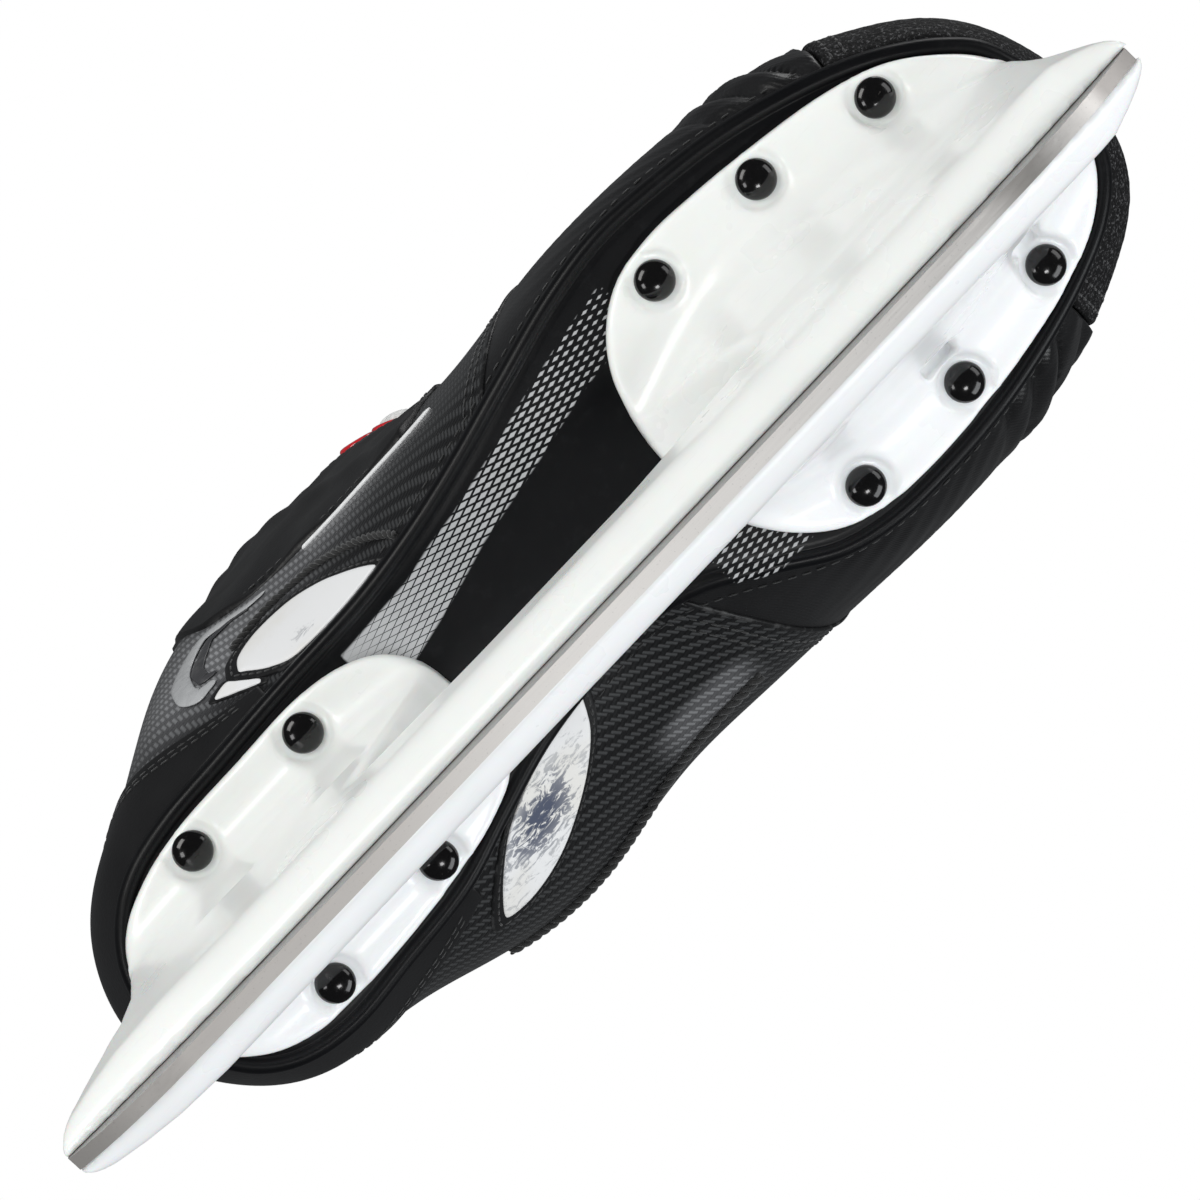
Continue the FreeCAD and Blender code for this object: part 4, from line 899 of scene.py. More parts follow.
def fabric(name, dark, light, pitch=0.9, rough=0.85, fuzz=0.5):
    n = Shader(name)
    u, v, _ = n.xyz(n.coords("UV"))
    height, _ = weave(n, u, v, pitch)
    grain = n.noise(n.coords(), scale=1500.0, rough=0.7)
    color = n.mix(n.add(height, grain), dark, light, share=0.5)
    relief = n.sum(height, grain, weights=(0.6, 1))
    return n.finish(color=color, rough=rough, sheen=fuzz, sheen_rough=0.5,
                    normal=n.bump(relief, strength=0.6, distance=0.0003))


def felt(name, dark, light):
    n = Shader(name)
    p = n.coords()
    fibres = n.noise(p, scale=900.0, detail=6.0, rough=0.75, distortion=0.8)
    cloud = n.noise(p, scale=90.0)
    return n.finish(color=n.mix(n.add(fibres, cloud), dark, light, share=0.5), rough=0.95,
                    sheen=0.7, sheen_rough=0.6,
                    normal=n.bump(fibres, strength=0.8, distance=0.0005))


def lacquer(name, dark, light, rough, coat):
    n = Shader(name)
    grain = n.noise(n.coords(), scale=600.0)
    return n.finish(color=n.mix(grain, dark, light),
                    rough=n.ramp(grain, span=(0.3, 0.7), to=(rough * 0.8, rough * 1.2)),
                    coat=coat, coat_rough=0.08,
                    normal=n.bump(grain, strength=0.1, distance=0.0001))


def thread(name, dark, light):
    n = Shader(name)
    grain = n.noise(n.coords(), scale=2500.0, detail=3.0)
    return n.finish(color=n.mix(grain, dark, light), rough=0.7, sheen=0.3,
                    normal=n.bump(grain, strength=0.6, distance=0.0001))


HOLDER, STEEL, RIVET, ZINC = holder_plastic(), runner_steel(), rivet_black(), zinc()
SOLE_PRINT, TOE_GRAIN, CARBON, WHITE = outsole_print(), toe_grained(), carbon_twill(), white_panel()
VAMP = leather("vamp_leather", rough=0.36, coat=0.4, lines=True)
BLACK = leather("black_leather", rough=0.46, coat=0.15)
GREY = leather("eyestay_leather", dark=(0.03, 0.03, 0.033), light=(0.075, 0.075, 0.08),
               rough=0.36, coat=0.35)
LINING = fabric("lining_fabric", dark=(0.02, 0.02, 0.022), light=(0.07, 0.07, 0.075))
BED = fabric("footbed_fabric", dark=(0.03, 0.03, 0.032), light=(0.11, 0.11, 0.115), pitch=1.1)
FELT = felt("tongue_felt", dark=(0.62, 0.62, 0.60), light=(0.86, 0.86, 0.84))
LACE = fabric("lace_weave", dark=(0.60, 0.60, 0.58), light=(0.88, 0.88, 0.86), pitch=0.55,
              rough=0.7, fuzz=0.3)
RED = lacquer("eyelet_red", dark=(0.50, 0.008, 0.014), light=(0.72, 0.02, 0.03),
              rough=0.2, coat=1.0)
EYELET = lacquer("eyelet_black", dark=(0.012, 0.012, 0.013), light=(0.04, 0.04, 0.042),
                 rough=0.25, coat=0.8)
THREAD = thread("black_thread", dark=(0.006, 0.006, 0.006), light=(0.022, 0.022, 0.022))
GREY_THREAD = thread("grey_thread", dark=(0.25, 0.25, 0.25), light=(0.5, 0.5, 0.5))
BOARD = felt("insole_board", dark=(0.05, 0.048, 0.045), light=(0.14, 0.13, 0.12))
SILVER = lacquer("silver_print", dark=(0.36, 0.365, 0.37), light=(0.5, 0.505, 0.51),
                 rough=0.3, coat=0.6)
PIPING = lacquer("white_piping", dark=(0.7, 0.7, 0.7), light=(0.85, 0.85, 0.85),
                 rough=0.4, coat=0.2)
TONGUE = fabric("tongue_face", dark=(0.012, 0.012, 0.013), light=(0.05, 0.05, 0.053),
                pitch=0.8, rough=0.7)


# ------------------------------------------------------------------ distance fields
def smooth_min(a, b, blend):
    share = np.clip(0.5 + 0.5 * (b - a) / blend, 0, 1)
    return b * (1 - share) + a * share - blend * share * (1 - share)


def smooth_max(a, b, blend):
    return -smooth_min(-a, -b, blend)


def surface_nets(field, origin, step):
    """Vertices and quads of the zero level of a field, which is negative inside."""
    nx, ny, nz = np.array(field.shape) - 1
    sums = np.zeros((nx, ny, nz, 3))
    counts = np.zeros((nx, ny, nz))

    def at_corner(i, j, k):
        return field[i:nx + i, j:ny + j, k:nz + k]
    for corner in np.ndindex(2, 2, 2):
        for axis in range(3):
            if corner[axis]:
                continue
            far = list(corner)
            far[axis] = 1
            here, there = at_corner(*corner), at_corner(*far)
            cross = (here < 0) != (there < 0)
            t = np.where(cross, here / np.where(cross, here - there, 1), 0)
            for d in range(3):
                sums[..., d] += np.where(cross, corner[d] + (t if d == axis else 0), 0)
            counts += cross
    cells = counts > 0
    index = -np.ones(cells.shape, np.int64)
    index[cells] = np.arange(cells.sum())
    verts = (np.argwhere(cells) + sums[cells] / counts[cells][:, None]) * step + origin
    inside = field < 0
    quads = []
    for axis in range(3):
        u, v = (axis + 1) % 3, (axis + 2) % 3
        low, high = [slice(None)] * 3, [slice(None)] * 3
        low[axis], high[axis] = slice(0, -1), slice(1, None)
        before, after = inside[tuple(low)], inside[tuple(high)]
        edges = np.argwhere(before != after)
        within = ((edges[:, u] > 0) & (edges[:, v] > 0)
                  & (edges[:, u] < field.shape[u] - 1) & (edges[:, v] < field.shape[v] - 1))
        edges = edges[within]
        inside_first = before[tuple(edges.T)]
        corners = []
        for du, dv in ((-1, -1), (0, -1), (0, 0), (-1, 0)):
            cell = edges.copy()
            cell[:, u] += du
            cell[:, v] += dv
            corners.append(index[tuple(cell.T)])
        quad = np.stack(corners, 1)
        quad[~inside_first] = quad[~inside_first][:, ::-1]
        quads.append(quad)
    return verts, np.concatenate(quads)


def relax(verts, faces, rounds):
    """Smooths by turns inwards and outwards, so that the shape doesn't shrink."""
    edges = np.concatenate([faces[:, [k, (k + 1) % 4]] for k in range(4)])
    degree = np.bincount(edges.ravel(), minlength=len(verts)).astype(float)[:, None]
    for amount in (0.5, -0.52) * rounds:
        total = np.zeros_like(verts)
        np.add.at(total, edges[:, 0], verts[edges[:, 1]])
        np.add.at(total, edges[:, 1], verts[edges[:, 0]])
        verts = verts + amount * (total / degree - verts)
    return verts


def outline_distance(outline, x, y):
    """Signed distance to a closed outline, negative inside."""
    best = np.full(x.shape, 1e9)
    inside = np.zeros(x.shape, bool)
    for start, end in zip(outline, np.roll(outline, -1, axis=0)):
        way = end - start
        t = np.clip(((x - start[0]) * way[0] + (y - start[1]) * way[1]) / (way @ way), 0, 1)
        best = np.minimum(best, (x - start[0] - t * way[0]) ** 2
                          + (y - start[1] - t * way[1]) ** 2)
        spans = (start[1] > y) != (end[1] > y)
        if way[1] != 0:
            inside ^= spans & (x < way[0] * (y - start[1]) / way[1] + start[0])
    distance = np.sqrt(best)
    return np.where(inside, -distance, distance)


# ------------------------------------------------------------------ runner holder
# Plate outlines and rivet places, seen from above: (x, y)
FRONT_PLATE = [
    (28.9,-4.9),(30.1,-13.0),(33.0,-22.6),(39.0,-30.4),(47.4,-35.6),(58.0,-37.2),(70.0,-36.5),
    (85.0,-34.6),(101.0,-31.6),(112.9,-27.4),(122.0,-20.6),(128.3,-12.2),(131.0,-2.0),
    (130.6,8.0),(127.4,17.2),(120.6,23.6),(109.1,28.5),(93.6,31.8),(78.2,33.6),(63.0,34.1),
    (51.2,32.9),(43.0,29.6),(36.5,24.0),(32.0,17.4),(29.2,8.0)]
REAR_PLATE = [
    (-30.9,-2.8),(-31.8,-10.6),(-35.7,-17.6),(-42.5,-21.7),(-53.2,-23.9),(-70.0,-23.7),
    (-88.2,-23.1),(-99.8,-20.8),(-108.5,-16.8),(-114.3,-10.0),(-116.9,3.0),(-114.0,14.0),
    (-107.6,20.8),(-98.0,24.7),(-86.0,25.5),(-70.0,24.8),(-55.0,23.1),(-44.0,20.7),
    (-35.5,16.9),(-31.9,11.0),(-30.6,4.0)]
FRONT_RIVETS = [(52.6,-30.3),(80.1,-29.6),(107.3,-23.8),(52.4,27.1),(80.1,27.1),(107.3,22.8)]
REAR_RIVETS = [(-57.4,-18.3),(-88.7,-18.0),(-57.5,18.2),(-88.7,20.2)]
FRONT_Z, REAR_Z = 54.0, 62.0    # undersides of the plates
PLATE_THICK = 4.0
RIVET_SEAT = 0.8                # seat's height above a plate's underside
BOLT_X = 96.0                   # each bolt's distance from the middle

GRID_X = np.linspace(-146, 147, 419)
GRID_Y = np.arange(-40, 39.5, 0.75)
GRID_Z = np.arange(3.5, 69, 0.7)
GRID_STEP = np.array([GRID_X[1] - GRID_X[0], 0.75, 0.7])

# (x, half width) of the long beam
BEAM_WIDTH = [
    (-143.4,1.5),(-142,3.6),(-140,5.0),(-136.7,6.1),(-130,7.4),(-122,8.5),(-110,9.1),(100,9.1),
    (118,9.1),(126,9.1),(130,8.9),(135.5,7.1),(138.7,5.8),(140.9,4.6),(142.6,3.0),(143.6,1.2)]
# Two rows each, z then value: extra half width of a tower, and x of a tower's end walls
FRONT_FLARE = ((4, 15, 20, 26, 31, 36, 40, 44, 48, 51, 54, 58, 70),
               (0, 0, 0.7, 2.1, 3.6, 5.2, 6.6, 8.2, 9.8, 11.2, 12.4, 13, 13))
REAR_FLARE = ((4, 15, 22, 28, 34, 40, 45, 50, 54, 58, 62, 66, 70),
              (0, 0, 0.3, 0.7, 1.1, 1.5, 1.9, 2.3, 2.7, 3.1, 3.4, 3.6, 3.6))
NOSE_WALL = ((3, 12, 16, 20, 26, 31, 38, 46, 54, 70),
             (146, 144.5, 143.6, 141.5, 137.3, 134.3, 132.3, 131.0, 130.6, 130.6))
FRONT_TOWER_BACK = ((3, 28, 34, 40, 46, 50, 54, 70), (60, 60, 52.5, 45.5, 38.5, 34.0, 30.0, 29.0))
TAIL_WALL = ((3, 14, 18, 25, 32, 42, 52, 60, 70),
             (-144, -143, -139.5, -130, -121.5, -117.4, -116.2, -116.5, -116.9))
REAR_TOWER_FRONT = ((3, 28, 34, 42, 50, 56, 62, 70),
                    (-60, -60, -51.5, -43.5, -37.5, -33.5, -31.0, -30.6))
# Height from a plate's underside, then how far the body may stand out from the plate's outline:
# before and after the plate is joined on
ROOM_BEFORE = ((-40, -25, -21, -12, -5, 1, 9), (300.0, 300.0, 14.0, 4.5, 0.5, -1.2, -1.2))
ROOM_AFTER = ((-40, -25, -20, -14, -7, -1.5, 9), (300.0, 300.0, 16.0, 12.0, 4.0, 0.15, 0.15))
# Plan lines (x0, y0, x1, y1) of faint steps along the towers
FACETS = ((126, -11.5, 36, -12.5), (122, -9.8, 58, -22.0),
          (-40, -11.5, -112, -11.8), (-46, -13.8, -92, -12.6))
# Wedge-shaped pockets beside the medial front rivets (x0, x1, y0, y1)
POCKETS = ((102.8, 110.2, 13.4, 17.6), (75.0, 83.4, 17.8, 20.9))


def beam_and_towers(x, y, z):
    """The long beam and the two towers rising from it."""
    lip = 6.8 + 6.6 * (np.maximum(0, np.abs(GRID_X) - 88) / 55) ** 1.7
    beam_half = np.interp(GRID_X, *np.transpose(BEAM_WIDTH))[:, None]
    front_share = window(GRID_X, 14, 150, fades=(52, 62))[:, None]
    rear_share = window(-GRID_X, 18, 152, fades=(42, 60))[:, None]
    flare = np.where(GRID_X[:, None] > 0, np.interp(GRID_Z, *FRONT_FLARE) * front_share,
                     np.interp(GRID_Z, *REAR_FLARE) * rear_share)
    lip_half = 3.5
    above_lip = np.clip((GRID_Z - lip[:, None]) / np.maximum(1.0, 16.5 - lip[:, None]), 0, 1)
    half = lip_half + (beam_half - lip_half) * np.sin(above_lip * math.pi / 2) ** 0.9
    half = np.where(beam_half < lip_half, beam_half, half) + flare
    nose, front_back, tail, rear_front = (
        np.interp(GRID_Z, *wall)
        for wall in (NOSE_WALL, FRONT_TOWER_BACK, TAIL_WALL, REAR_TOWER_FRONT))
    front_tower = np.maximum(front_back - x, x - nose)
    rear_tower = np.maximum(tail - x, x - rear_front)
    beam = z - 28.0
    upright = smooth_min(smooth_min(beam, front_tower, 9.0), rear_tower, 9.0)
    field = smooth_max(np.abs(y) - half[:, None, :], upright, 2.2)
    field = smooth_max(field, np.maximum(x - nose, tail - x), 3.0)
    return smooth_max(field, lip[:, None, None] - z, 1.4)


def add_plates(field, x, z, plan_x, plan_y):
    plates = [(outline_distance(closed_curve(outline, 8), plan_x, plan_y)[:, :, None], under,
               (x > 0) == (under == FRONT_Z))
              for outline, under in ((FRONT_PLATE, FRONT_Z), (REAR_PLATE, REAR_Z))]
    for plan, under, in_half in plates:
        limit = plan - np.interp(GRID_Z - under, *ROOM_BEFORE)
        field = np.where(in_half, smooth_max(field, limit, 2.5), field)
    for plan, under, in_half in plates:
        top = under + PLATE_THICK
        corner = 1.7
        out = plan + corner
        up = np.abs(z - (under + top) / 2) - PLATE_THICK / 2 + corner
        plate = (np.minimum(np.maximum(out, up), 0)
                 + np.sqrt(np.maximum(out, 0) ** 2 + np.maximum(up, 0) ** 2) - corner)
        field = smooth_min(field, plate, 8.0)
        limit = plan - np.interp(GRID_Z - under, *ROOM_AFTER)
        field = np.where(in_half, smooth_max(field, limit, 1.2), field)
        field = np.maximum(field, np.where(in_half, z - top, field))
    return field


def add_facets(field, plan_x, plan_y):
    for x0, y0, x1, y1 in FACETS:
        way_x, way_y = x1 - x0, y1 - y0
        length_sq = way_x ** 2 + way_y ** 2
        dx, dy = plan_x - x0, plan_y - y0
        t = np.clip((dx * way_x + dy * way_y) / length_sq, 0, 1)
        dist = np.sqrt((dx - t * way_x) ** 2 + (dy - t * way_y) ** 2)
        side = (dx * way_y - dy * way_x) / math.sqrt(length_sq)
        step = 0.30 * ridge(dist, at=0, size=2.4) * np.tanh(side / 0.7) * np.sin(t * math.pi)
        field = field + step[:, :, None]
    return field


def cut_openings(field, x, y, z, plan_x, plan_y):
    """The slot for the steel, the bolt holes, the rivet seats and the pockets."""
    slot_half = 1.62
    field = smooth_max(field, np.minimum(slot_half - np.abs(y), 19.2 - z), 0.4)
    for bolt_x in (BOLT_X, -BOLT_X):
        hole = 2.85 - np.sqrt((x - bolt_x) ** 2 + y ** 2)
        field = np.maximum(field, np.minimum(hole, z - 18.6))
        notch = np.minimum(6.5 - np.abs(x - bolt_x), slot_half - np.abs(y))
        field = np.maximum(field, np.minimum(notch, 27.2 - z))
    for spots, under in ((FRONT_RIVETS, FRONT_Z), (REAR_RIVETS, REAR_Z)):
        for rivet_x, rivet_y in spots:
            radius = np.sqrt((plan_x - rivet_x) ** 2 + (plan_y - rivet_y) ** 2)[:, :, None]
            seat = np.maximum(radius - 5.5 - 0.25 * np.maximum(0, under - z - 0.5),
                              np.maximum(z - (under + RIVET_SEAT), (under - 20) - z))
            field = smooth_max(field, -seat, 1.5)
            hole = np.maximum(radius - 2.1, np.abs(z - under - PLATE_THICK / 2) - 6)
            field = np.maximum(field, -hole)
    for x0, x1, y0, y1 in POCKETS:
        pocket = np.maximum(np.maximum(x0 - x, x - x1), np.maximum(y0 - y, y - y1))
        roof = 53.2 + 3.4 * np.clip((x - x0 + 1) / 8, 0, 1)
        field = smooth_max(field, -np.maximum(pocket, z - roof), 0.7)
    return field


def build_holder():
    x, y, z = np.meshgrid(GRID_X, GRID_Y, GRID_Z, indexing="ij")
    plan_x, plan_y = x[:, :, 0], y[:, :, 0]
    field = beam_and_towers(x, y, z)
    field = add_plates(field, x, z, plan_x, plan_y)
    field = add_facets(field, plan_x, plan_y)
    field = cut_openings(field, x, y, z, plan_x, plan_y)
    origin = np.array([GRID_X[0], GRID_Y[0], GRID_Z[0]])
    verts, faces = surface_nets(field, origin, GRID_STEP)
    build("runner_holder_moulding", relax(verts, faces, rounds=5), faces, HOLDER,
          replaces=["runner_holder"], slot="holder_white")


def build_bolts():
    """Shanks flattened on two sides where they pass the slot, threaded at the top."""
    seg = 40
    for end, bolt_x, under in (("front", BOLT_X, FRONT_Z), ("rear", -BOLT_X, REAR_Z)):
        top = under + PLATE_THICK + 5.85
        thread_z = np.arange(top - 11.0, top - 0.7, 0.2)
        thread_radius = 2.42 + 0.08 * np.sin(thread_z / 0.8 * math.tau)
        levels = np.concatenate([[26.5, 26.9, 42.4, 43.2], thread_z, [top - 0.45, top]])[:, None]
        radius = np.concatenate([[2.2, 2.5, 2.5, 2.5], thread_radius, [2.4, 2.0]])[:, None]
        half = np.where(levels < 42.8, 1.5, 2.6)
        turn = angles(seg)
        verts = np.stack([bolt_x + radius * np.cos(turn),
                          np.clip(radius * np.sin(turn), -half, half),
                          np.broadcast_to(levels, (len(levels), seg))], -1)
        build(end + "_hook_bolt_shank", verts.reshape(-1, 3), capped_faces(len(levels), seg),
              ZINC, body="steel", replaces=[end + "_hook_bolt"], slot="zinc_steel")


def build_rivets():
    head_radius = 4.1
    dome = [(1.9, -3.6), (1.95, -0.4), (3.9, -0.25), (head_radius, 0.0)]
    dome += [(head_radius * math.cos(a), 0.15 + 2.15 * math.sin(a))
             for a in np.linspace(0.05, math.pi / 2 - 0.01, 11)]
    for end, places, under in (("front", FRONT_RIVETS, FRONT_Z), ("rear", REAR_RIVETS, REAR_Z)):
        spots = [((x, y, under + RIVET_SEAT), (0, 0, -1)) for x, y in places]
        lathe(end + "_rivet_heads", dome, spots, RIVET, replaces=[end + "_rivets"],
              slot="rivet_black")


# ------------------------------------------------------------------ sole outline
# The sole's rim seen from above: (x, y)
SOLE = [
    (135.0,4.9),(133.3,-5.5),(130.2,-15.8),(124.7,-22.3),(117.2,-28.1),(109.7,-32.4),
    (97.9,-37.2),(82.4,-41.7),(66.9,-44.2),(51.4,-45.4),(36.0,-43.6),(16.6,-38.9),(1.2,-34.7),
    (-14.4,-31.2),(-30.0,-29.0),(-53.4,-28.4),(-72.9,-27.5),(-88.5,-26.7),(-100.2,-24.3),
    (-108.0,-20.2),(-115.0,-13.2),(-118.9,-4.5),(-120.3,4.2),(-116.9,15.5),(-111.9,23.0),
    (-104.1,28.2),(-92.4,30.7),(-76.0,29.6),(-57.3,27.8),(-41.7,23.3),(-26.1,19.2),(-8.6,16.9),
    (6.0,16.7),(16.6,20.0),(28.2,27.2),(39.8,34.6),(51.4,37.8),(66.0,38.5),(82.4,37.6),
    (97.9,34.9),(111.8,31.0),(122.5,26.3),(130.0,20.0),(133.6,13.0)]
# The line that the sole's rings shrink towards: x, then y
CENTRE_LINE = ((-120, -92, -60, -30, 0, 30, 60, 104, 135),
               (3, 3.2, 1.5, -3.5, -8.5, -6.0, -3.5, 0.5, 4.0))
RIM_COUNT = 900
SOLE_THICK = 4.0


def evenly_round(line, count):
    line = np.vstack([line, line[:1]])
    lengths = arc_length(line)
    return interp_points(np.linspace(0, lengths[-1], count, endpoint=False), lengths, line)


RIM = evenly_round(closed_curve(SOLE, 10), RIM_COUNT)
CENTRE_X = np.clip(RIM[:, 0], -92, 104)
CENTRE = path(CENTRE_X, np.interp(CENTRE_X, *CENTRE_LINE))
BACKWARD = np.roll(RIM, 1, axis=0) - np.roll(RIM, -1, axis=0)
OUTWARD = unit(np.stack([BACKWARD[:, 1], -BACKWARD[:, 0]], -1))


def level(plan, height):
    """Plan points set at a height above the sole's lower face, which rises to the heel."""
    lower = 58 + 8 * smoothstep((29 - plan[:, 0]) / 59)
    return np.concatenate([plan, (lower + height)[:, None]], 1)


def shrink(plan, share):
    return plan * (1 - share) + CENTRE * share


def shares(count):
    return np.linspace(0, 1, count)[1:]


# ------------------------------------------------------------------ outsole
# Round the edge, from the top face to the underside: (inset from the rim, height)
SOLE_EDGE = [(1.2, 4.0), (0.45, 3.86), (0.1, 3.4), (0.0, 2.7), (0.0, 1.5), (0.12, 0.8),
             (0.45, 0.15), (1.0, -0.3), (1.7, -0.48), (2.3, -0.42), (2.8, -0.15), (3.15, 0.2),
             (3.45, 0.36), (3.8, 0.3), (4.2, 0.14), (5.0, 0.1)]
# The print is laid out as the eye below sees it on the ground plane: x, then y of the two
# edges of the lateral band, and x, then size of the dots
PRINT_OUTER = (
    (-38.1536, -21.7002, -14.3876, -7.0750, 0.2377, 7.5503, 14.8629, 22.1755, 29.4881, 36.8007,
     44.1133),
    (-27.5320, -28.2633, -29.7258, -30.6399, -32.1024, -33.5649, -35.3931, -36.8556, -38.3181,
     -39.4150, -40.5119))
PRINT_INNER = (
    (-38.1536, -31.3894, -21.7002, -14.3876, -7.0750, 3.8940, 11.2066, 18.5192, 25.8318, 33.1444,
     44.1133),
    (-14.5521, -16.9287, -18.9397, -20.7678, -22.7788, -24.6069, -25.8867, -27.3492, -28.8117,
     -29.5430, -31.0055))
PRINT_ENDS = (-39.9817, 41.3711)
PATCH_X, PATCH_Y = (19.2505, 35.3382), (9.5795, 20.5484)    # the small medial patch
DOT_SIZE = ((-39.0676, -33.5832, -18.0439, -3.4186, 11.2066, 25.8318, 38.6289),
            (0.50, 0.46, 0.40, 0.345, 0.30, 0.25, 0.20))
PATCH_DOT = 0.24
PRINT_FADE = 10.9689    # distance inside an edge at which "band" reaches 1


def print_attributes(points):
    x, y, z = points.T
    scale = VIEW_DISTANCE / (VIEW_DISTANCE + z)
    seen_x = (x - VIEW_X) * scale
    seen_y = (y - VIEW_Y - VIEW_SLOPE * z) * scale

    def inside(value, low, high):
        return np.minimum(value - low, high - value)
    band = np.minimum(inside(seen_y, np.interp(seen_x, *PRINT_OUTER),
                             np.interp(seen_x, *PRINT_INNER)),
                      inside(seen_x, *PRINT_ENDS))
    medial = np.minimum(inside(seen_y, *PATCH_Y), inside(seen_x, *PATCH_X))
    return {"band": np.maximum(band, medial) / PRINT_FADE,
            "dot": np.where(medial > band, PATCH_DOT, np.interp(seen_x, *DOT_SIZE))}


def build_outsole():
    rings = [level(RIM - OUTWARD * inset, height) for inset, height in SOLE_EDGE]
    rings += [level(shrink(rings[-1][:, :2], k ** 0.9), 0.1) for k in shares(42)]
    top = [level(shrink(RIM - OUTWARD * SOLE_EDGE[0][0], k), SOLE_THICK) for k in shares(5)]
    rings = top[::-1] + rings
    verts = np.concatenate(rings)
    build("outsole_moulding", verts, ring_faces(len(rings), RIM_COUNT), SOLE_PRINT,
          replaces=["outsole"], slot="sole_black", attrs=print_attributes(verts))


# ------------------------------------------------------------------ shells of the upper
SHELL_LOW = -2.0


def painted_sheen_lateral(col, row, points):
    """Painted soft grey sheen that fades round the ankle."""
    front = spot(col, row, at=(5.2, 2.3), size=(1.1, 0.55))
    rear = spot(col, row, at=(3.6, 2.0), size=(0.8, 0.75))
    return np.clip(0.75 * front + 0.95 * rear, 0, 1)


def painted_sheen_medial(col, row, points):
    # Painted grey sheen along the medial seam
    return 0.55 * (window(col, 20.75, 22.2, fades=(0.35, 0.5))
                   * window(row, 1.25, 1.95, fades=(0.2, 0.25)))


def ankle_bulge(col, row, points):
    return 1.6 * spot(points[..., 0], points[..., 2], at=(-62, 128), size=(16, 15))


def toe_folds(col, row, points):
    """Slanting creases on both sides of the toe, with finer ripples over them."""
    x, z = points[..., 0], points[..., 2]
    where = window(x, 74, 119, fades=(10, 6)) * window(z, 62, 106, fades=(4, 22))
    slant = 0.7 * (z - 62) * np.where(col > TOE_COLUMN, 1.0, 0.8)
    phase = (x + slant + 1.3 * np.sin(z * 0.16 + x * 0.05)) / 8.6
    number = np.floor(phase)
    pillow = np.sin((phase - number) * math.pi) ** 0.85
    depth = 0.75 + 0.35 * np.sin(number * 2.4 + 1.0)
    ripple = 0.10 * np.sin((x * 0.8 + z * 1.3) * 1.1 + 2 * np.sin(z * 0.3))
    return (pillow - 0.58) * 2.5 * depth * where + ripple * smoothstep((x - 20) / 30)


def toe_grain(col, row, points):
    x, y, z = np.moveaxis(points, -1, 0)
    weave_xy = np.sin(x * 3.1 + 2.0 * np.sin(y * 1.7)) * np.sin(y * 2.7 + 1.5 * np.sin(z * 2.1))
    return 0.05 * (weave_xy + np.sin(z * 3.3 + x))


# Row of the heel counter's upper edge, by the share of the way round from medial to lateral
COUNTER_TOP = smooth_curve([(0, 0.5), (0.12, 1.25), (0.27, 2.2), (0.5, 2.6), (0.76, 2.1),
                            (0.88, 1.25), (1, 0.5)])


def build_shells():
    quarter_heights, vamp_heights = (SHELL_LOW, 0.0), (SHELL_LOW, -0.05)
    heel_gap = 0.015
    for side, cols, band, sides in (
            ("lateral", (heel_gap, lateral_seam), painted_sheen_lateral, "RBT"),
            ("medial", (medial_seam, COLUMNS - heel_gap), painted_sheen_medial, "LBT")):
        sheet(side + "_quarter_shell", cols, (0.0, TOP_ROW), quarter_heights, CARBON,
              relief=ankle_bulge, fields={"band": band}, sides=sides,
              replaces=[side + "_quarter"], slot="carbon_composite")
    for side, cols in (("lateral", (lateral_seam, 11.48)), ("medial", (16.52, medial_seam))):
        sheet(side + "_vamp_shell", cols, (0.0, TOP_ROW), vamp_heights, VAMP, step=0.9,
              relief=toe_folds, sides="LRB", replaces=[side + "_vamp"])
    sheet("toe_cap_shell", (11.5, 16.5), (0.0, TOP_ROW), (SHELL_LOW, 0.55), TOE_GRAIN, step=0.8,
          edge=1.1, relief=toe_grain, sides="LRB", replaces=["toe_cap"], slot="toe_black")
    sheet("heel_counter_overlay", (-3.9, 3.9), (0.0, COUNTER_TOP), (-0.02, 0.95), BLACK,
          step=1.2, edge=1.3, replaces=["heel_counter"])


# ------------------------------------------------------------------ side panels
# Outlines on the skin: (column, row)
LATERAL_LEAF = [
    (3.86, 1.2), (3.87, 1.3), (3.95, 1.5), (4.2, 1.63), (4.6, 1.56), (4.93, 1.27), (5.14, 0.92),
    (5.32, 0.48), (5.42, 0.08), (5.4, 0.05), (5.34, 0.05), (4.95, 0.08), (4.58, 0.13),
    (4.3, 0.24), (4.08, 0.62), (3.9, 1.1)]
MEDIAL_LEAF = [
    (22.15, 0.06), (22.16, 0.09), (22.32, 0.48), (22.62, 0.82), (22.98, 1.06), (23.42, 1.24),
    (23.9, 1.31), (24.1, 1.26), (24.11, 1.2), (23.95, 0.78), (23.72, 0.42), (23.5, 0.22),
    (23.05, 0.1), (22.6, 0.06), (22.2, 0.05)]
LATERAL_TAIL = [
    (3.56, 1.16), (3.64, 1.24), (3.72, 1.26), (3.79, 1.1), (3.88, 0.84), (3.95, 0.6),
    (3.93, 0.52), (3.84, 0.66), (3.74, 0.84), (3.64, 1.0)]


def scuff_medial(col, row):
    return np.clip(0.55 + 0.75 * spot(col, row, at=(23.25, 0.6), size=(0.5, 0.4)), 0, 1.3)


def scuff_lateral(col, row):
    return 0.75 * spot(col, row, at=(4.55, 0.55), size=(0.22, 0.28))


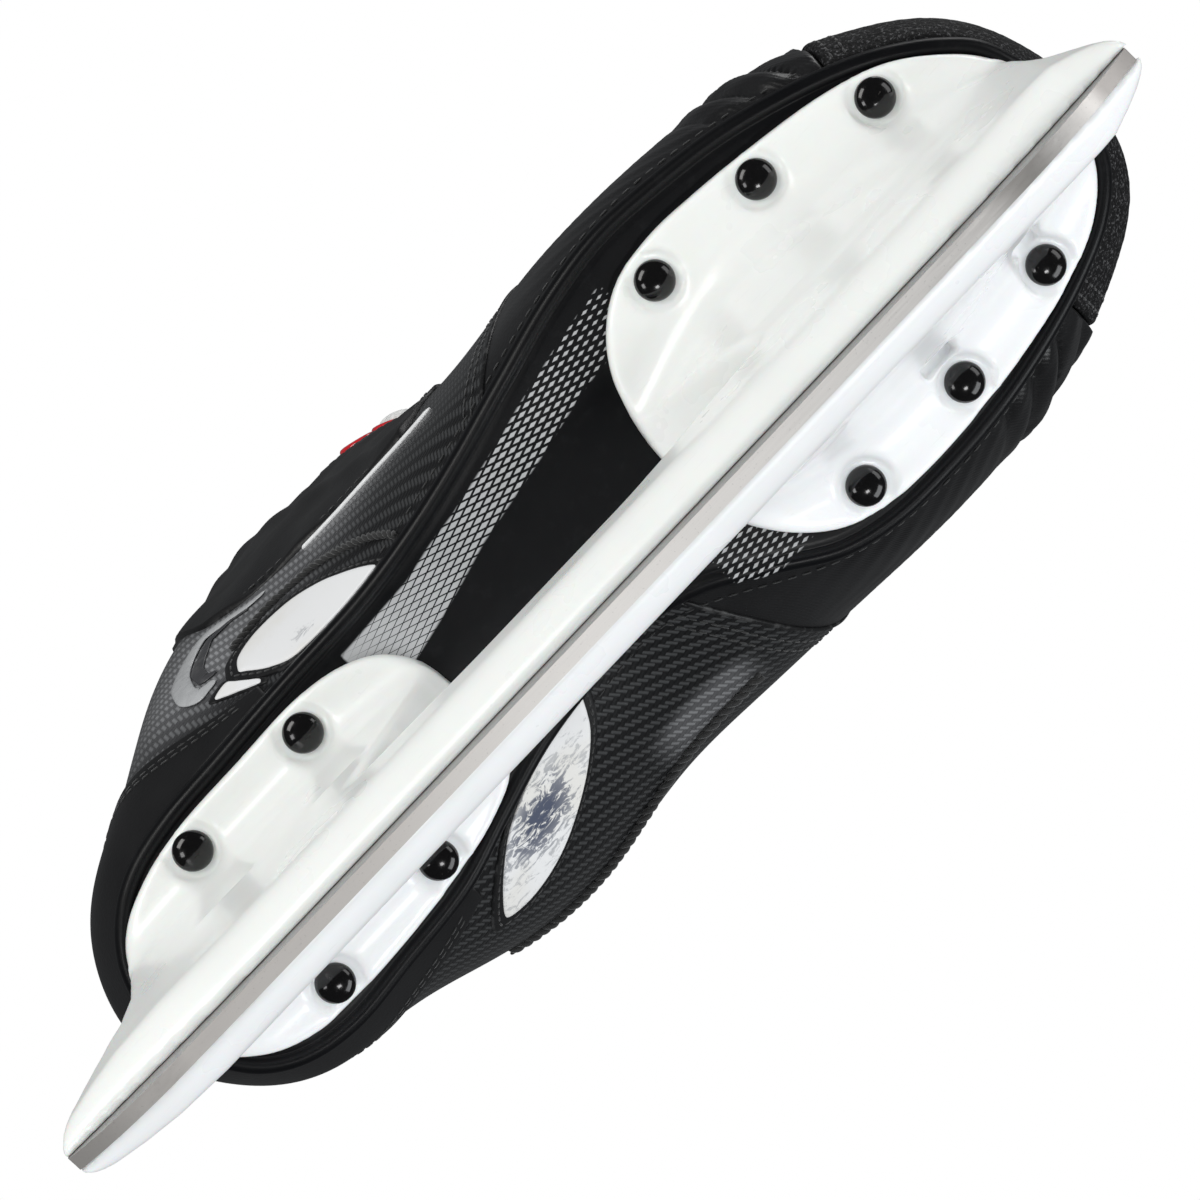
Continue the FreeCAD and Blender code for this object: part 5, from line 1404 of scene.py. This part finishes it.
def build_side_panels():
    """White panels, each on a slightly larger black border."""
    leaf_heights = ((0.0, 0.62), (0.3, 1.02))
    tail_heights = ((0.0, 0.5), (0.25, 0.85))
    for name, outline, growth, heights, scuff, replaces in (
            ("lateral_leaf", LATERAL_LEAF, 1.16, leaf_heights, scuff_lateral,
             ["lateral_side_panel"]),
            ("lateral_tail", LATERAL_TAIL, 1.28, tail_heights, scuff_lateral, ()),
            ("medial_leaf", MEDIAL_LEAF, 1.16, leaf_heights, scuff_medial,
             ["medial_side_panel"])):
        patch(name + "_border", grow(outline, growth), heights[0], BLACK)
        patch(name + "_white", outline, heights[1], WHITE, scuff=scuff, replaces=replaces,
              slot="white_leather")


# ------------------------------------------------------------------ ankle panel and eyestays
ANKLE_START, ANKLE_WIDTH = 2.9, 4.05    # columns
# Row of the panel's upper edge by share of its width, and of the piping by column
ANKLE_TOP = smooth_curve([(0, 4.86), (0.4, 4.9), (0.52, 4.3), (0.56, 4.2), (1, 4.27)])
PIPING_ROW = smooth_curve([(2.9, 2.9), (3.6, 2.62), (4.3, 2.34), (4.62, 2.28), (5.38, 2.2),
                           (6.05, 2.15), (6.95, 2.05)])
EYESTAY_START, EYESTAY_WIDTH = 5.1, 5.45
# Row of an eyestay's lower edge, by the share of the way to the toe
EYESTAY_LOW = smooth_curve([(0, 4.12), (0.25, 4.22), (0.6, 4.3), (1, 4.32)])


def ankle_low(across):
    """The lower edge follows the piping and rises at both ends."""
    low, high = PIPING_ROW(ANKLE_START + ANKLE_WIDTH * across), ANKLE_TOP(across)
    return (low + (high - 0.3 - low) * smoothstep((0.27 - across) / 0.27) ** 1.3
            + 0.45 * (high - low) * smoothstep((across - 0.86) / 0.14))


def ankle_folds(col, row, points):
    x, z = points[..., 0], points[..., 2]
    crease = 0.9 * ridge(x + 0.55 * z, at=55, size=5.0)
    waves = 0.5 * np.sin((x - 0.4 * z) * 0.23) * np.sin(z * 0.13)
    return crease + waves + ankle_bulge(col, row, points)


def build_ankle_panel():
    sheet("lateral_ankle_panel", (ANKLE_START, ANKLE_START + ANKLE_WIDTH),
          (ankle_low, ANKLE_TOP), (0.02, 0.85), BLACK, step=1.2, edge=1.0, relief=ankle_folds)


def build_eyestays():
    limits = (EYESTAY_START, EYESTAY_START + EYESTAY_WIDTH)
    for side, low in (("lateral", EYESTAY_LOW), ("medial", lambda across: EYESTAY_LOW(1 - across))):
        sheet(side + "_eyestay_band", sorted(mirror(side, col) for col in limits), (low, 4.985),
              (0.02, 1.3), GREY, step=1.1, edge=1.0, replaces=[side + "_eyestay"],
              slot="eyestay_grey")


# ------------------------------------------------------------------ seams and trim
def build_side_seams():
    up = np.linspace(0.02, 0.995, 30)
    along = np.linspace(0.02, 0.98, 24)
    toe_up = np.linspace(0.03, 0.97, 16) * TOP_ROW
    for side, seam, sign in (("lateral", lateral_seam, 1), ("medial", medial_seam, -1)):
        for suffix, gap in (("", 0.16), ("_b", 0.28)):
            sew_skin(side + "_seam_stitches" + suffix, path(seam(up) - sign * gap, up * TOP_ROW),
                     0.06, THREAD)
        points, normals = skin_line(path(seam(up), up * TOP_ROW), 0.0, 200)
        tube(side + "_seam_edge_bead", points, 0.62, BLACK, seg=8, flat=0.7, normals=normals)
        cols = mirror(side, EYESTAY_START + EYESTAY_WIDTH * along)
        sew_skin(side + "_eyestay_stitches", path(cols, EYESTAY_LOW(along) + 0.07), 1.28,
                 THREAD, pitch=2.4, slot="eyestay_grey")
        sew_skin(side + "_edge_stitches", path(cols, 4.93), 1.24, GREY_THREAD,
                 pitch=2.2, length=1.5, radius=0.2, slot="eyestay_grey")
        for suffix, col, height in (("", 11.62, 0.55), ("_b", 11.78, 0.57)):
            sew_skin(side + "_toe_stitches" + suffix, path(mirror(side, col), toe_up), height,
                     THREAD, slot="toe_black")
        sew_skin(side + "_sole_stitches", path(mirror(side, np.linspace(5.5, 11.2, 30)), 0.30),
                 0.04, THREAD, pitch=3.0)


def build_panel_stitches():
    share = np.linspace(0.02, 0.98, 60)
    inward = np.where(share < 0.5, 0.09, -0.09) * (np.abs(share - 0.5) > 0.2)
    top = COUNTER_TOP(share)
    sew_skin("counter_stitches", path(-3.9 + 7.8 * share + inward, np.maximum(0.15, top - 0.13)),
             0.96, THREAD)
    sew_skin("counter_stitches_b", path(-3.82 + 7.64 * share, np.maximum(0.1, top - 0.27)),
             0.98, THREAD)
    for side, leaf in (("lateral", LATERAL_LEAF), ("medial", MEDIAL_LEAF)):
        line = closed_curve(grow(leaf, 1.07), 8)
        sew_skin(side + "_leaf_stitches", np.vstack([line, line[:1]]), 0.62, THREAD,
                 pitch=2.2, length=1.6)
    share = np.linspace(0.04, 0.97, 40)
    sew_skin("ankle_panel_stitches",
             path(ANKLE_START + ANKLE_WIDTH * share, ankle_low(share) + 0.075), 0.86, THREAD)


# Lines on the skin: (column, row)
PIPING_LINE = [(5.0, 2.2), (5.38, 2.16), (6.05, 2.11), (6.8, 2.01)]
SILVER_ARC = [(4.5, 2.16), (4.3, 2.21), (4.08, 2.3), (3.85, 2.37), (3.62, 2.26), (3.45, 2.0),
              (3.42, 1.7), (3.52, 1.5), (3.68, 1.5)]
GREY_ARC = [(4.3, 2.16), (4.1, 2.25), (3.9, 2.26), (3.74, 2.12), (3.62, 1.9), (3.62, 1.72),
            (3.74, 1.64)]
MEDIAL_ROPE = [(24.3, 2.35), (23.4, 2.15), (22.62, 1.95), (21.9, 1.82), (21.2, 1.75),
               (20.9, 1.7)]
LATERAL_ROPE = [(3.95, 1.75), (4.4, 1.85), (4.9, 1.72), (5.3, 1.35), (5.55, 0.9), (5.7, 0.4),
                (5.75, 0.1)]


def build_trim():
    points, normals = skin_line(PIPING_LINE, 0.15, 120)
    tube("lateral_piping_white", points, 0.55, PIPING, seg=8, normals=normals,
         slot="white_leather")
    half_width = np.interp(np.linspace(0, 1, 160), [0, 0.25, 0.6, 0.85, 1],
                           [0.7, 1.5, 2.7, 2.4, 0.9])
    for name, line, height, share, mat, flat, slot in (
            ("lateral_silver_arc", SILVER_ARC, 0.32, 1, SILVER, 0.2, "white_leather"),
            ("lateral_grey_arc", GREY_ARC, 0.28, 0.62, GREY, 0.26, "eyestay_grey")):
        points, normals = skin_line(line, height)
        points = points + normals * ankle_bulge(None, None, points)[:, None]
        tube(name, points, half_width * share, mat, seg=16, flat=flat, normals=normals, slot=slot)
    rope("medial_rope_trim", MEDIAL_ROPE, 1.0, THREAD)
    rope("lateral_rope_trim", LATERAL_ROPE, 0.8, THREAD)


# ------------------------------------------------------------------ tongue
def hem(grid, inset, start, top):
    """The border line of a grid: up one side, across the top and down the other side."""
    last = len(grid) - 1 - inset
    return np.concatenate([grid[inset, start:top], grid[inset:last + 1, top],
                           grid[last, start:top][::-1]])


def nearest(values, target):
    return int(np.argmin(np.abs(values - target)))


# Down the tongue's middle, from the toe end to the top: (x, z, half width)
TONGUE_LINE = np.array([
    (77, 112.6, 8), (58, 122.5, 13.5), (36.5, 138.5, 18), (17, 163.5, 22), (2, 189, 28),
    (-5, 208, 32), (-6.5, 226, 34), (-4, 246, 30)], float)
TONGUE_SLOPES = slope_matrix(len(TONGUE_LINE), closed=False) @ TONGUE_LINE
TONGUE_LENGTH, TONGUE_WIDTH = 165.0, 56.0
# Bodies, then the lower and upper ends of the bend (metres)
TONGUE_BLEND = ("boot", "tongue_flap", (-0.0045, 0.004, 0.1995), (-0.0045, 0.004, 0.2165))


def tongue_at(station):
    last = len(TONGUE_LINE) - 1
    station = np.clip(station, 0, last)
    k = np.minimum(np.floor(station).astype(int), last - 1)
    values = hermite((station - k)[..., None], TONGUE_LINE[k], TONGUE_SLOPES[k],
                     TONGUE_LINE[k + 1], TONGUE_SLOPES[k + 1])
    return np.moveaxis(values, -1, 0)


def tongue_quilt(dist, along, across):
    """Long padded channels with a flat stitched border."""
    channel = (across - across.mean(axis=1, keepdims=True)) / 9.5
    swell = np.sin((channel - np.floor(channel)) * math.pi) ** 0.5
    border = smoothstep((dist - 5.5) / 2.5)
    groove = -0.5 * ridge(dist, at=5.0, size=0.8)
    soft = (0.18 * np.sin(along * 0.21 + 1.3 * np.sin(across * 0.17))
            * np.sin(across * 0.26 + along * 0.05))
    return 0.75 * (swell - 0.6) * border + groove + soft


def build_tongue():
    edge = 3.2
    up_share = samples(TONGUE_LENGTH, 1.7, 3.4)
    side_share = samples(TONGUE_WIDTH, 1.5, 3.4)
    station, side = np.meshgrid((len(TONGUE_LINE) - 1) * up_share, -1 + 2 * side_share,
                                indexing="ij")
    x, z, half_width = tongue_at(station)
    dx, dz, _ = tongue_at(station + 0.02) - tongue_at(station - 0.02)
    run = np.hypot(dx, dz)
    facing = np.where(dz < 0, -1, 1)    # turns the normals towards the toe
    normal_x, normal_z = dz / run * facing, -dx / run * facing
    sag = -0.16 * half_width * side ** 2
    thick = 7.0 * (0.55 + 0.45 * np.cos(side * math.pi / 2))
    depth = sag - thick / 2
    middle = np.stack([x + normal_x * depth, 4.0 + side * half_width, z + normal_z * depth], -1)
    normals = unit(np.stack([normal_x, 0.26 * side, normal_z], -1))
    outer = pad("tongue_padded", middle, normals, thick / 2, edge, TONGUE, inner_mat=FELT,
                relief=tongue_quilt, inner_relief=0.4, replaces=["tongue", "tongue_top"],
                slot="tongue_felt", blend=TONGUE_BLEND)
    border = 5.0
    inset = nearest(side_share * TONGUE_WIDTH, border)
    top = len(up_share) - 1 - nearest(up_share * TONGUE_LENGTH, border)
    points, line_normals = (hem(grid.swapaxes(0, 1), inset, 4, top) for grid in (outer, normals))
    sew_line("tongue_border_stitches", points, line_normals, GREY_THREAD, slot="tongue_felt",
             blend=TONGUE_BLEND)


def build_gusset():
    """Closes the throat in front of the tongue."""
    cols = np.linspace(9.3, 11.2, 26)
    across = np.linspace(0, 1, 22)
    lateral, medial = (on_skin(mirror(side, cols), 4.8, -3.4)[:, None]
                       for side in ("lateral", "medial"))
    share = across[None, :, None]
    middle = lateral * (1 - share) + medial * share
    arch = np.sin(across * math.pi)[None, :] * np.clip((11.0 - cols) / 1.2, 0, 1)[:, None]
    middle[..., 2] += -1.2 + 1.6 * arch
    pad("throat_gusset", middle, unit(np.array([0.35, 0, 0.94])), 0.7, 0.8, TONGUE,
        slot="lining_fabric")


# ------------------------------------------------------------------ tendon guard
GUARD_WIDTH, GUARD_HEIGHT = 60.0, 30.0
GUARD_BLEND = ("boot", "guard", (-0.109, 0.004, 0.2075), (-0.109, 0.004, 0.2175))


def guard_ribs(dist, along, across):
    ribs = np.sin(np.clip(across - 7, 0, None) / 6.0 * math.pi) ** 2
    return 0.55 * ribs * smoothstep((dist - 4) / 3) - 0.45 * ridge(dist, at=3.8, size=0.7)


def build_tendon_guard():
    edge = 3.0
    side_share = samples(GUARD_WIDTH, 1.4, edge)
    up_share = samples(GUARD_HEIGHT, 1.3, edge)
    # Two rows below 0 tuck inside the boot
    up_rows = np.concatenate([[-0.14, -0.08], up_share])
    side, up = np.meshgrid(-1 + 2 * side_share, up_rows, indexing="ij")
    tucked = up < 0
    cols = side * 2.75
    normals = raw_normal(cols, TOP_ROW)
    normals = unit(normals * np.array([1, 1, 0]))
    rise = 27.0 * (1 - np.abs(side) ** 2.2) + 4.0
    shift = np.stack([-2.5 * up * (1 - np.abs(side)), np.zeros_like(up),
                      1.6 + rise * up * np.where(tucked, 0.9, 1)], -1)
    thick = np.where(tucked, 5.0, 6.0 * (1 - 0.3 * np.clip(up, 0, 1)))
    middle = (on_skin(cols, TOP_ROW, 0) - SKIN_LIFT + shift
              - normals * (thick / 2 + np.where(tucked, 0.45, 0))[..., None])
    outer = pad("tendon_guard_padded", middle, normals, thick / 2, edge, BLACK, inner_mat=LINING,
                sides="LRT", relief=guard_ribs, inner_relief=0.3, replaces=["tendon_guard"],
                blend=GUARD_BLEND)
    border = 3.8
    inset = nearest(side_share * GUARD_WIDTH, border)
    top = len(up_rows) - 1 - nearest(up_share * GUARD_HEIGHT, border)
    sew_line("tendon_guard_stitches", hem(outer, inset, 3, top), hem(normals, inset, 3, top),
             GREY_THREAD, blend=GUARD_BLEND)


# ------------------------------------------------------------------ liners and bindings
LINER_LOW, LINER_HIGH = -7.4, -2.15     # heights off the skin
LINER_BOTTOM, LINER_TOP = 0.95, 4.93    # rows
LINER_SEAM = 4.1                        # row of the stitched groove


def build_liners():
    """Padded fabric, thicker round the ankle and the collar."""
    for side, start, end in (("lateral", 0.1, 7.0), ("medial", 21.0, 27.9)):
        across, up = np.meshgrid(samples(170.0, 2.2, 2.4), samples(125.0, 2.0, 2.4),
                                 indexing="ij")
        col = start + (end - start) * across
        row = LINER_BOTTOM + (LINER_TOP - LINER_BOTTOM) * up
        x, _, z = np.moveaxis(skin(col, row), -1, 0)
        collar = 0.9 * ridge(row, at=4.55, size=0.28)
        groove = -0.8 * ridge(row, at=LINER_SEAM, size=0.05)
        ankle = 1.2 * spot(x, z, at=(-62, 135), size=(20, 18))
        diamonds = np.abs(np.sin((x + z) * 0.19)) + np.abs(np.sin((x - z) * 0.19)) - 1.2
        quilt = 0.3 * diamonds * smoothstep((3.9 - row) / 0.3)
        wrinkles = 0.15 * np.sin(x * 0.5 + 2 * np.sin(z * 0.11)) * np.sin(z * 0.37)
        puff = collar + groove + ankle + quilt + wrinkles
        pad(side + "_liner_padded", on_skin(col, row, (LINER_LOW + LINER_HIGH) / 2),
            -skin_normal(col, row), (LINER_HIGH - LINER_LOW) / 2, 2.2, LINING,
            relief=lambda dist, along, across: puff, replaces=[side + "_liner"],
            slot="lining_fabric")
        line = np.linspace(start + 0.25, end - 0.3, 200)
        sew_line(side + "_liner_stitches", on_skin(line, LINER_SEAM, -7.0),
                 -skin_normal(line, LINER_SEAM), GREY_THREAD, slot="lining_fabric")


def build_bindings():
    """Bound edges of the collar and of the top of the heel."""
    start, end = 2.66, 5.05
    for side in ("lateral", "medial"):
        cols = np.linspace(*sorted((mirror(side, start), mirror(side, end))), 140)
        radius = np.interp(np.abs(cols - mirror(side, start)), [0, 0.2, 0.45], [0.9, 1.9, 2.6])
        points = on_skin(cols, TOP_ROW, -3.0) + np.array([0, 0, 0.2])
        tube(side + "_collar_binding", points, radius, BLACK, seg=18,
             normals=skin_normal(cols, TOP_ROW))
    cols = np.linspace(-2.95, 2.95, 160)
    points = on_skin(cols, TOP_ROW, -0.6) + np.array([0, 0, -0.4])
    tube("heel_edge_binding", points, 1.2, BLACK, seg=12, normals=skin_normal(cols, TOP_ROW))


# ------------------------------------------------------------------ footbed
# Distance from the sole's rim: x, then inset
BED_INSET = ((-120, -20, 40, 135), (11.0, 10.5, 7.0, 6.5))
# Round the edge, from the underside to the top face: (further inset, height)
BED_EDGE = [(1.4, 6.02), (0.5, 6.25), (0.1, 7.0), (0.0, 8.4), (0.15, 9.7), (0.6, 10.3),
            (1.3, 10.45), (2.4, 10.38)]


def build_footbed():
    """A shaped insole with a raised rim; it uses every third point of the sole's rim."""
    inset = np.interp(RIM[:, 0], *BED_INSET)
    rings = [level(RIM - OUTWARD * (inset + extra)[:, None], height)
             for extra, height in BED_EDGE]
    bottom = [level(shrink(rings[0][:, :2], k), BED_EDGE[0][1]) for k in shares(5)]
    top_rim = rings[-1][:, :2]
    for k in shares(36):
        plan = shrink(top_rim, k)
        x, y = plan.T
        dish = 1.0 * smoothstep(k / 0.45) + 0.10 * np.sin(x * 0.9) * np.sin(y * 0.9)
        rings.append(level(plan, BED_EDGE[-1][1] - dish))
    rings = [ring[::3] for ring in bottom[::-1] + rings]
    verts = np.concatenate(rings)
    build("footbed_shaped", verts, ring_faces(len(rings), len(rings[0])), BED, body="bed",
          uv=verts[:, :2], replaces=["footbed"], slot="footbed_foam")


# ------------------------------------------------------------------ eyelets and lace
EYELET_COLUMNS = [5.45, 5.85, 6.3, 6.75, 7.2, 7.7, 8.25, 8.8, 9.4, 10.0]
EYELET_ROW = 4.62
EYESTAY_FACE = 1.3      # height of the eyestay's face off the skin
# (radius, height)
EYELET_PROFILE = [
    (4.55, -0.15), (4.6, 0.15), (4.5, 0.5), (4.15, 0.82), (3.6, 0.95), (3.0, 0.86), (2.5, 0.55),
    (2.25, 0.1), (2.2, -0.6), (2.2, -5.2), (2.9, -5.2), (2.9, -0.15)]


def build_eyelets():
    for side in ("lateral", "medial"):
        cols = [mirror(side, col) for col in EYELET_COLUMNS]
        spots = [(on_skin(col, EYELET_ROW, EYESTAY_FACE), skin_normal(col, EYELET_ROW))
                 for col in cols]
        lathe(side + "_top_eyelet_rings", EYELET_PROFILE, spots[:2], RED, ring=True,
              replaces=[side + "_top_eyelets"], slot="eyelet_red")
        lathe(side + "_eyelet_rings", EYELET_PROFILE, spots[2:], EYELET, ring=True,
              replaces=[side + "_eyelets"], slot="eyelet_black")


def lace_half(col):
    """Control points and normals from inside an eyelet to the eyestay's edge."""
    normal, edge_normal = skin_normal(col, EYELET_ROW), skin_normal(col, 4.98)
    eye, edge = on_skin(col, EYELET_ROW, EYESTAY_FACE), on_skin(col, 4.98, EYESTAY_FACE)
    points = [eye - normal * 2.5, eye + normal * 0.6, eye * 0.55 + edge * 0.45 + normal * 2.1,
              edge + edge_normal * 2.2]
    return points, [normal] * 3 + [edge_normal], edge


def lace_strand(lateral_col, medial_col, lift):
    """Points and normals of a strand from a lateral eyelet over to a medial one."""
    start, start_normals, start_edge = lace_half(lateral_col)
    end, end_normals, end_edge = lace_half(mirror("medial", medial_col))
    total = start_normals[0] + end_normals[0]
    up = unit(np.array([total[0], 0, total[2]]))
    rise = 7.0 + lift
    bridge = [start_edge * (1 - share) + end_edge * share + up * height
              for share, height in ((0.38, rise * 0.8 + 0.6), (0.5, rise),
                                    (0.62, rise * 0.8 + 0.6))]
    # The normals change from the edge's to the eyelet's one point sooner at the medial end
    control_normals = start_normals + [up] * 3 + end_normals[::-1]
    count = 72
    stations = np.linspace(0, 10, count)
    return (open_curve(start + bridge + end[::-1], count),
            interp_points(stations, np.arange(11), control_normals))


def build_lace():
    """A straight strand nearest the toe, crossed pairs up the boot, a straight one on top."""
    rows = EYELET_COLUMNS[1:]
    strands = [(rows[-1], rows[-1], -0.6)]
    for i in range(len(rows) - 1, 0, -1):
        for j, (start, end) in enumerate(((rows[i], rows[i - 1]), (rows[i - 1], rows[i]))):
            strands.append((start, end, 0.95 if (i + j) % 2 else -0.75))
    strands.append((rows[0], rows[0], 2.6))
    for number, strand in enumerate(strands):
        points, normals = lace_strand(*strand)
        tube("lace_strand_%02d" % number, points, 2.9, LACE, seg=14, flat=0.27, normals=normals,
             replaces=() if number else ["lace"], slot="lace_white")


# ------------------------------------------------------------------ camera, floor and light
def add_camera():
    """Looks up at the sole from below, rolled so that the skate lies on the diagonal."""
    tilt = math.atan(VIEW_SLOPE)
    sine, cosine = math.sin(tilt), math.cos(tilt)
    place = Vector((VIEW_X, VIEW_Y - VIEW_DISTANCE * sine, -VIEW_DISTANCE * cosine)) * MM
    forward = Vector((0, sine, cosine))
    length_axis, width_axis = Vector((1, 0, 0)), Vector((0, cosine, -sine))
    roll_cosine, roll_sine = 0.6891, 0.7246
    right = length_axis * roll_cosine + width_axis * roll_sine
    up = length_axis * roll_sine - width_axis * roll_cosine
    data = bpy.data.cameras.new("camera")
    data.lens = 164.1
    data.sensor_width = 36
    data.clip_end = 50
    camera = bpy.data.objects.new("camera", data)
    bpy.context.scene.collection.objects.link(camera)
    rotation = Matrix((right, up, -forward)).transposed()
    camera.matrix_world = Matrix.Translation(place) @ rotation.to_4x4()
    bpy.context.scene.camera = camera


def add_floor():
    """A pale floor that is clear from below and doesn't act on the light."""
    n = Shader("floor_plain")
    cloud = n.noise(n.coords(), scale=3.0)
    n.finish(color=n.mix(cloud, start=(0.86, 0.86, 0.86), to=(0.90, 0.90, 0.90)), rough=0.8)
    below = n.new("ShaderNodeNewGeometry").outputs["Backfacing"]
    clear = n.new("ShaderNodeBsdfTransparent").outputs[0]
    mixed = n.fill(n.new("ShaderNodeMixShader"), {0: below, 1: n.bsdf.outputs[0], 2: clear})
    n.put(n.out.inputs[0], mixed.outputs[0])
    half, z = 3, -0.0006
    mesh = bpy.data.meshes.new("floor")
    mesh.from_pydata([(-half, -half, z), (half, -half, z), (half, half, z), (-half, half, z)],
                     [], [(0, 1, 2, 3)])
    mesh.materials.append(n.mat)
    floor = bpy.data.objects.new("floor", mesh)
    bpy.context.scene.collection.objects.link(floor)
    for ray in ("shadow", "diffuse", "glossy", "transmission"):
        setattr(floor, "visible_" + ray, False)
    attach(floor, "steel")


def add_world():
    """White to the camera; dim bluish light elsewhere, dimmer still in reflections."""
    world = bpy.data.worlds.new("studio")
    bpy.context.scene.world = world
    world.use_nodes = True
    n = Graph(world.node_tree)
    out = n.new("ShaderNodeOutputWorld")
    white = n.fill(n.new("ShaderNodeBackground"), {"Color": (1.0, 1.0, 1.0), "Strength": 1.0})
    rays = n.new("ShaderNodeLightPath").outputs
    reflected = n.ramp(n.xyz(n.coords("Generated"))[2], span=(-0.1, 0.6), to=(0.05, 0.11))
    strength = n.mix_value(rays["Is Glossy Ray"], start=0.62, to=reflected)
    ambient = n.fill(n.new("ShaderNodeBackground"),
                     {"Color": (0.95, 0.975, 1.0), "Strength": strength})
    mixed = n.fill(n.new("ShaderNodeMixShader"),
                   {0: rays["Is Camera Ray"], 1: ambient.outputs[0], 2: white.outputs[0]})
    n.put(out.inputs[0], mixed.outputs[0])


def area_light(name, at, size, power, color=(1, 1, 1), target=(0.0, 0.0, 0.06)):
    data = bpy.data.lights.new(name, "AREA")
    data.shape = "RECTANGLE"
    data.size, data.size_y = size
    data.energy = power
    data.color = color
    light = bpy.data.objects.new(name, data)
    bpy.context.scene.collection.objects.link(light)
    aim = (Vector(target) - Vector(at)).normalized()
    light.rotation_euler = aim.to_track_quat("-Z", "Y").to_euler()
    light.location = at


def add_lights():
    area_light("window_medial", at=(0.35, 0.90, -0.62), size=(0.75, 0.45), power=4.15,
               color=(0.95, 0.98, 1.0))
    area_light("soft_front", at=(0.98, 0.10, -0.45), size=(0.6, 0.4), power=1.8)
    area_light("fill_lateral", at=(-0.35, -0.95, -0.62), size=(0.75, 0.45), power=5.8,
               color=(1.0, 0.99, 0.965))
    area_light("window_small", at=(-0.10, 0.42, -1.05), size=(0.22, 0.16), power=1.6)
    area_light("under_low", at=(-0.75, -0.25, -0.85), size=(0.3, 0.3), power=1.6)
    area_light("top_soft", at=(1.05, -0.55, 0.75), size=(0.6, 0.5), power=2.6,
               target=(0, 0, 0.12))


# Finishes of the CAD pieces; any other gets black leather
CAD_MATS = {"runner": STEEL, "insole_board": BOARD, "footbed": BED, "front_hook_bolt": ZINC,
            "rear_hook_bolt": ZINC, "front_bolt_washer": ZINC, "rear_bolt_washer": ZINC,
            "front_lock_nut": ZINC, "rear_lock_nut": ZINC, "rivet_washers": ZINC}


def finish_cad_pieces():
    for name, piece in CAD_NODES.items():
        piece.data.materials.clear()
        piece.data.materials.append(CAD_MATS.get(name, BLACK))


build_holder()
build_bolts()
build_rivets()
build_outsole()
build_shells()
build_side_panels()
build_ankle_panel()
build_eyestays()
build_side_seams()
build_panel_stitches()
build_trim()
build_tongue()
build_gusset()
build_tendon_guard()
build_liners()
build_bindings()
build_footbed()
build_eyelets()
build_lace()
add_camera()
add_floor()
add_world()
add_lights()
bpy.context.scene.view_settings.view_transform = "Standard"
bpy.context.scene.view_settings.look = "None"
finish_cad_pieces()
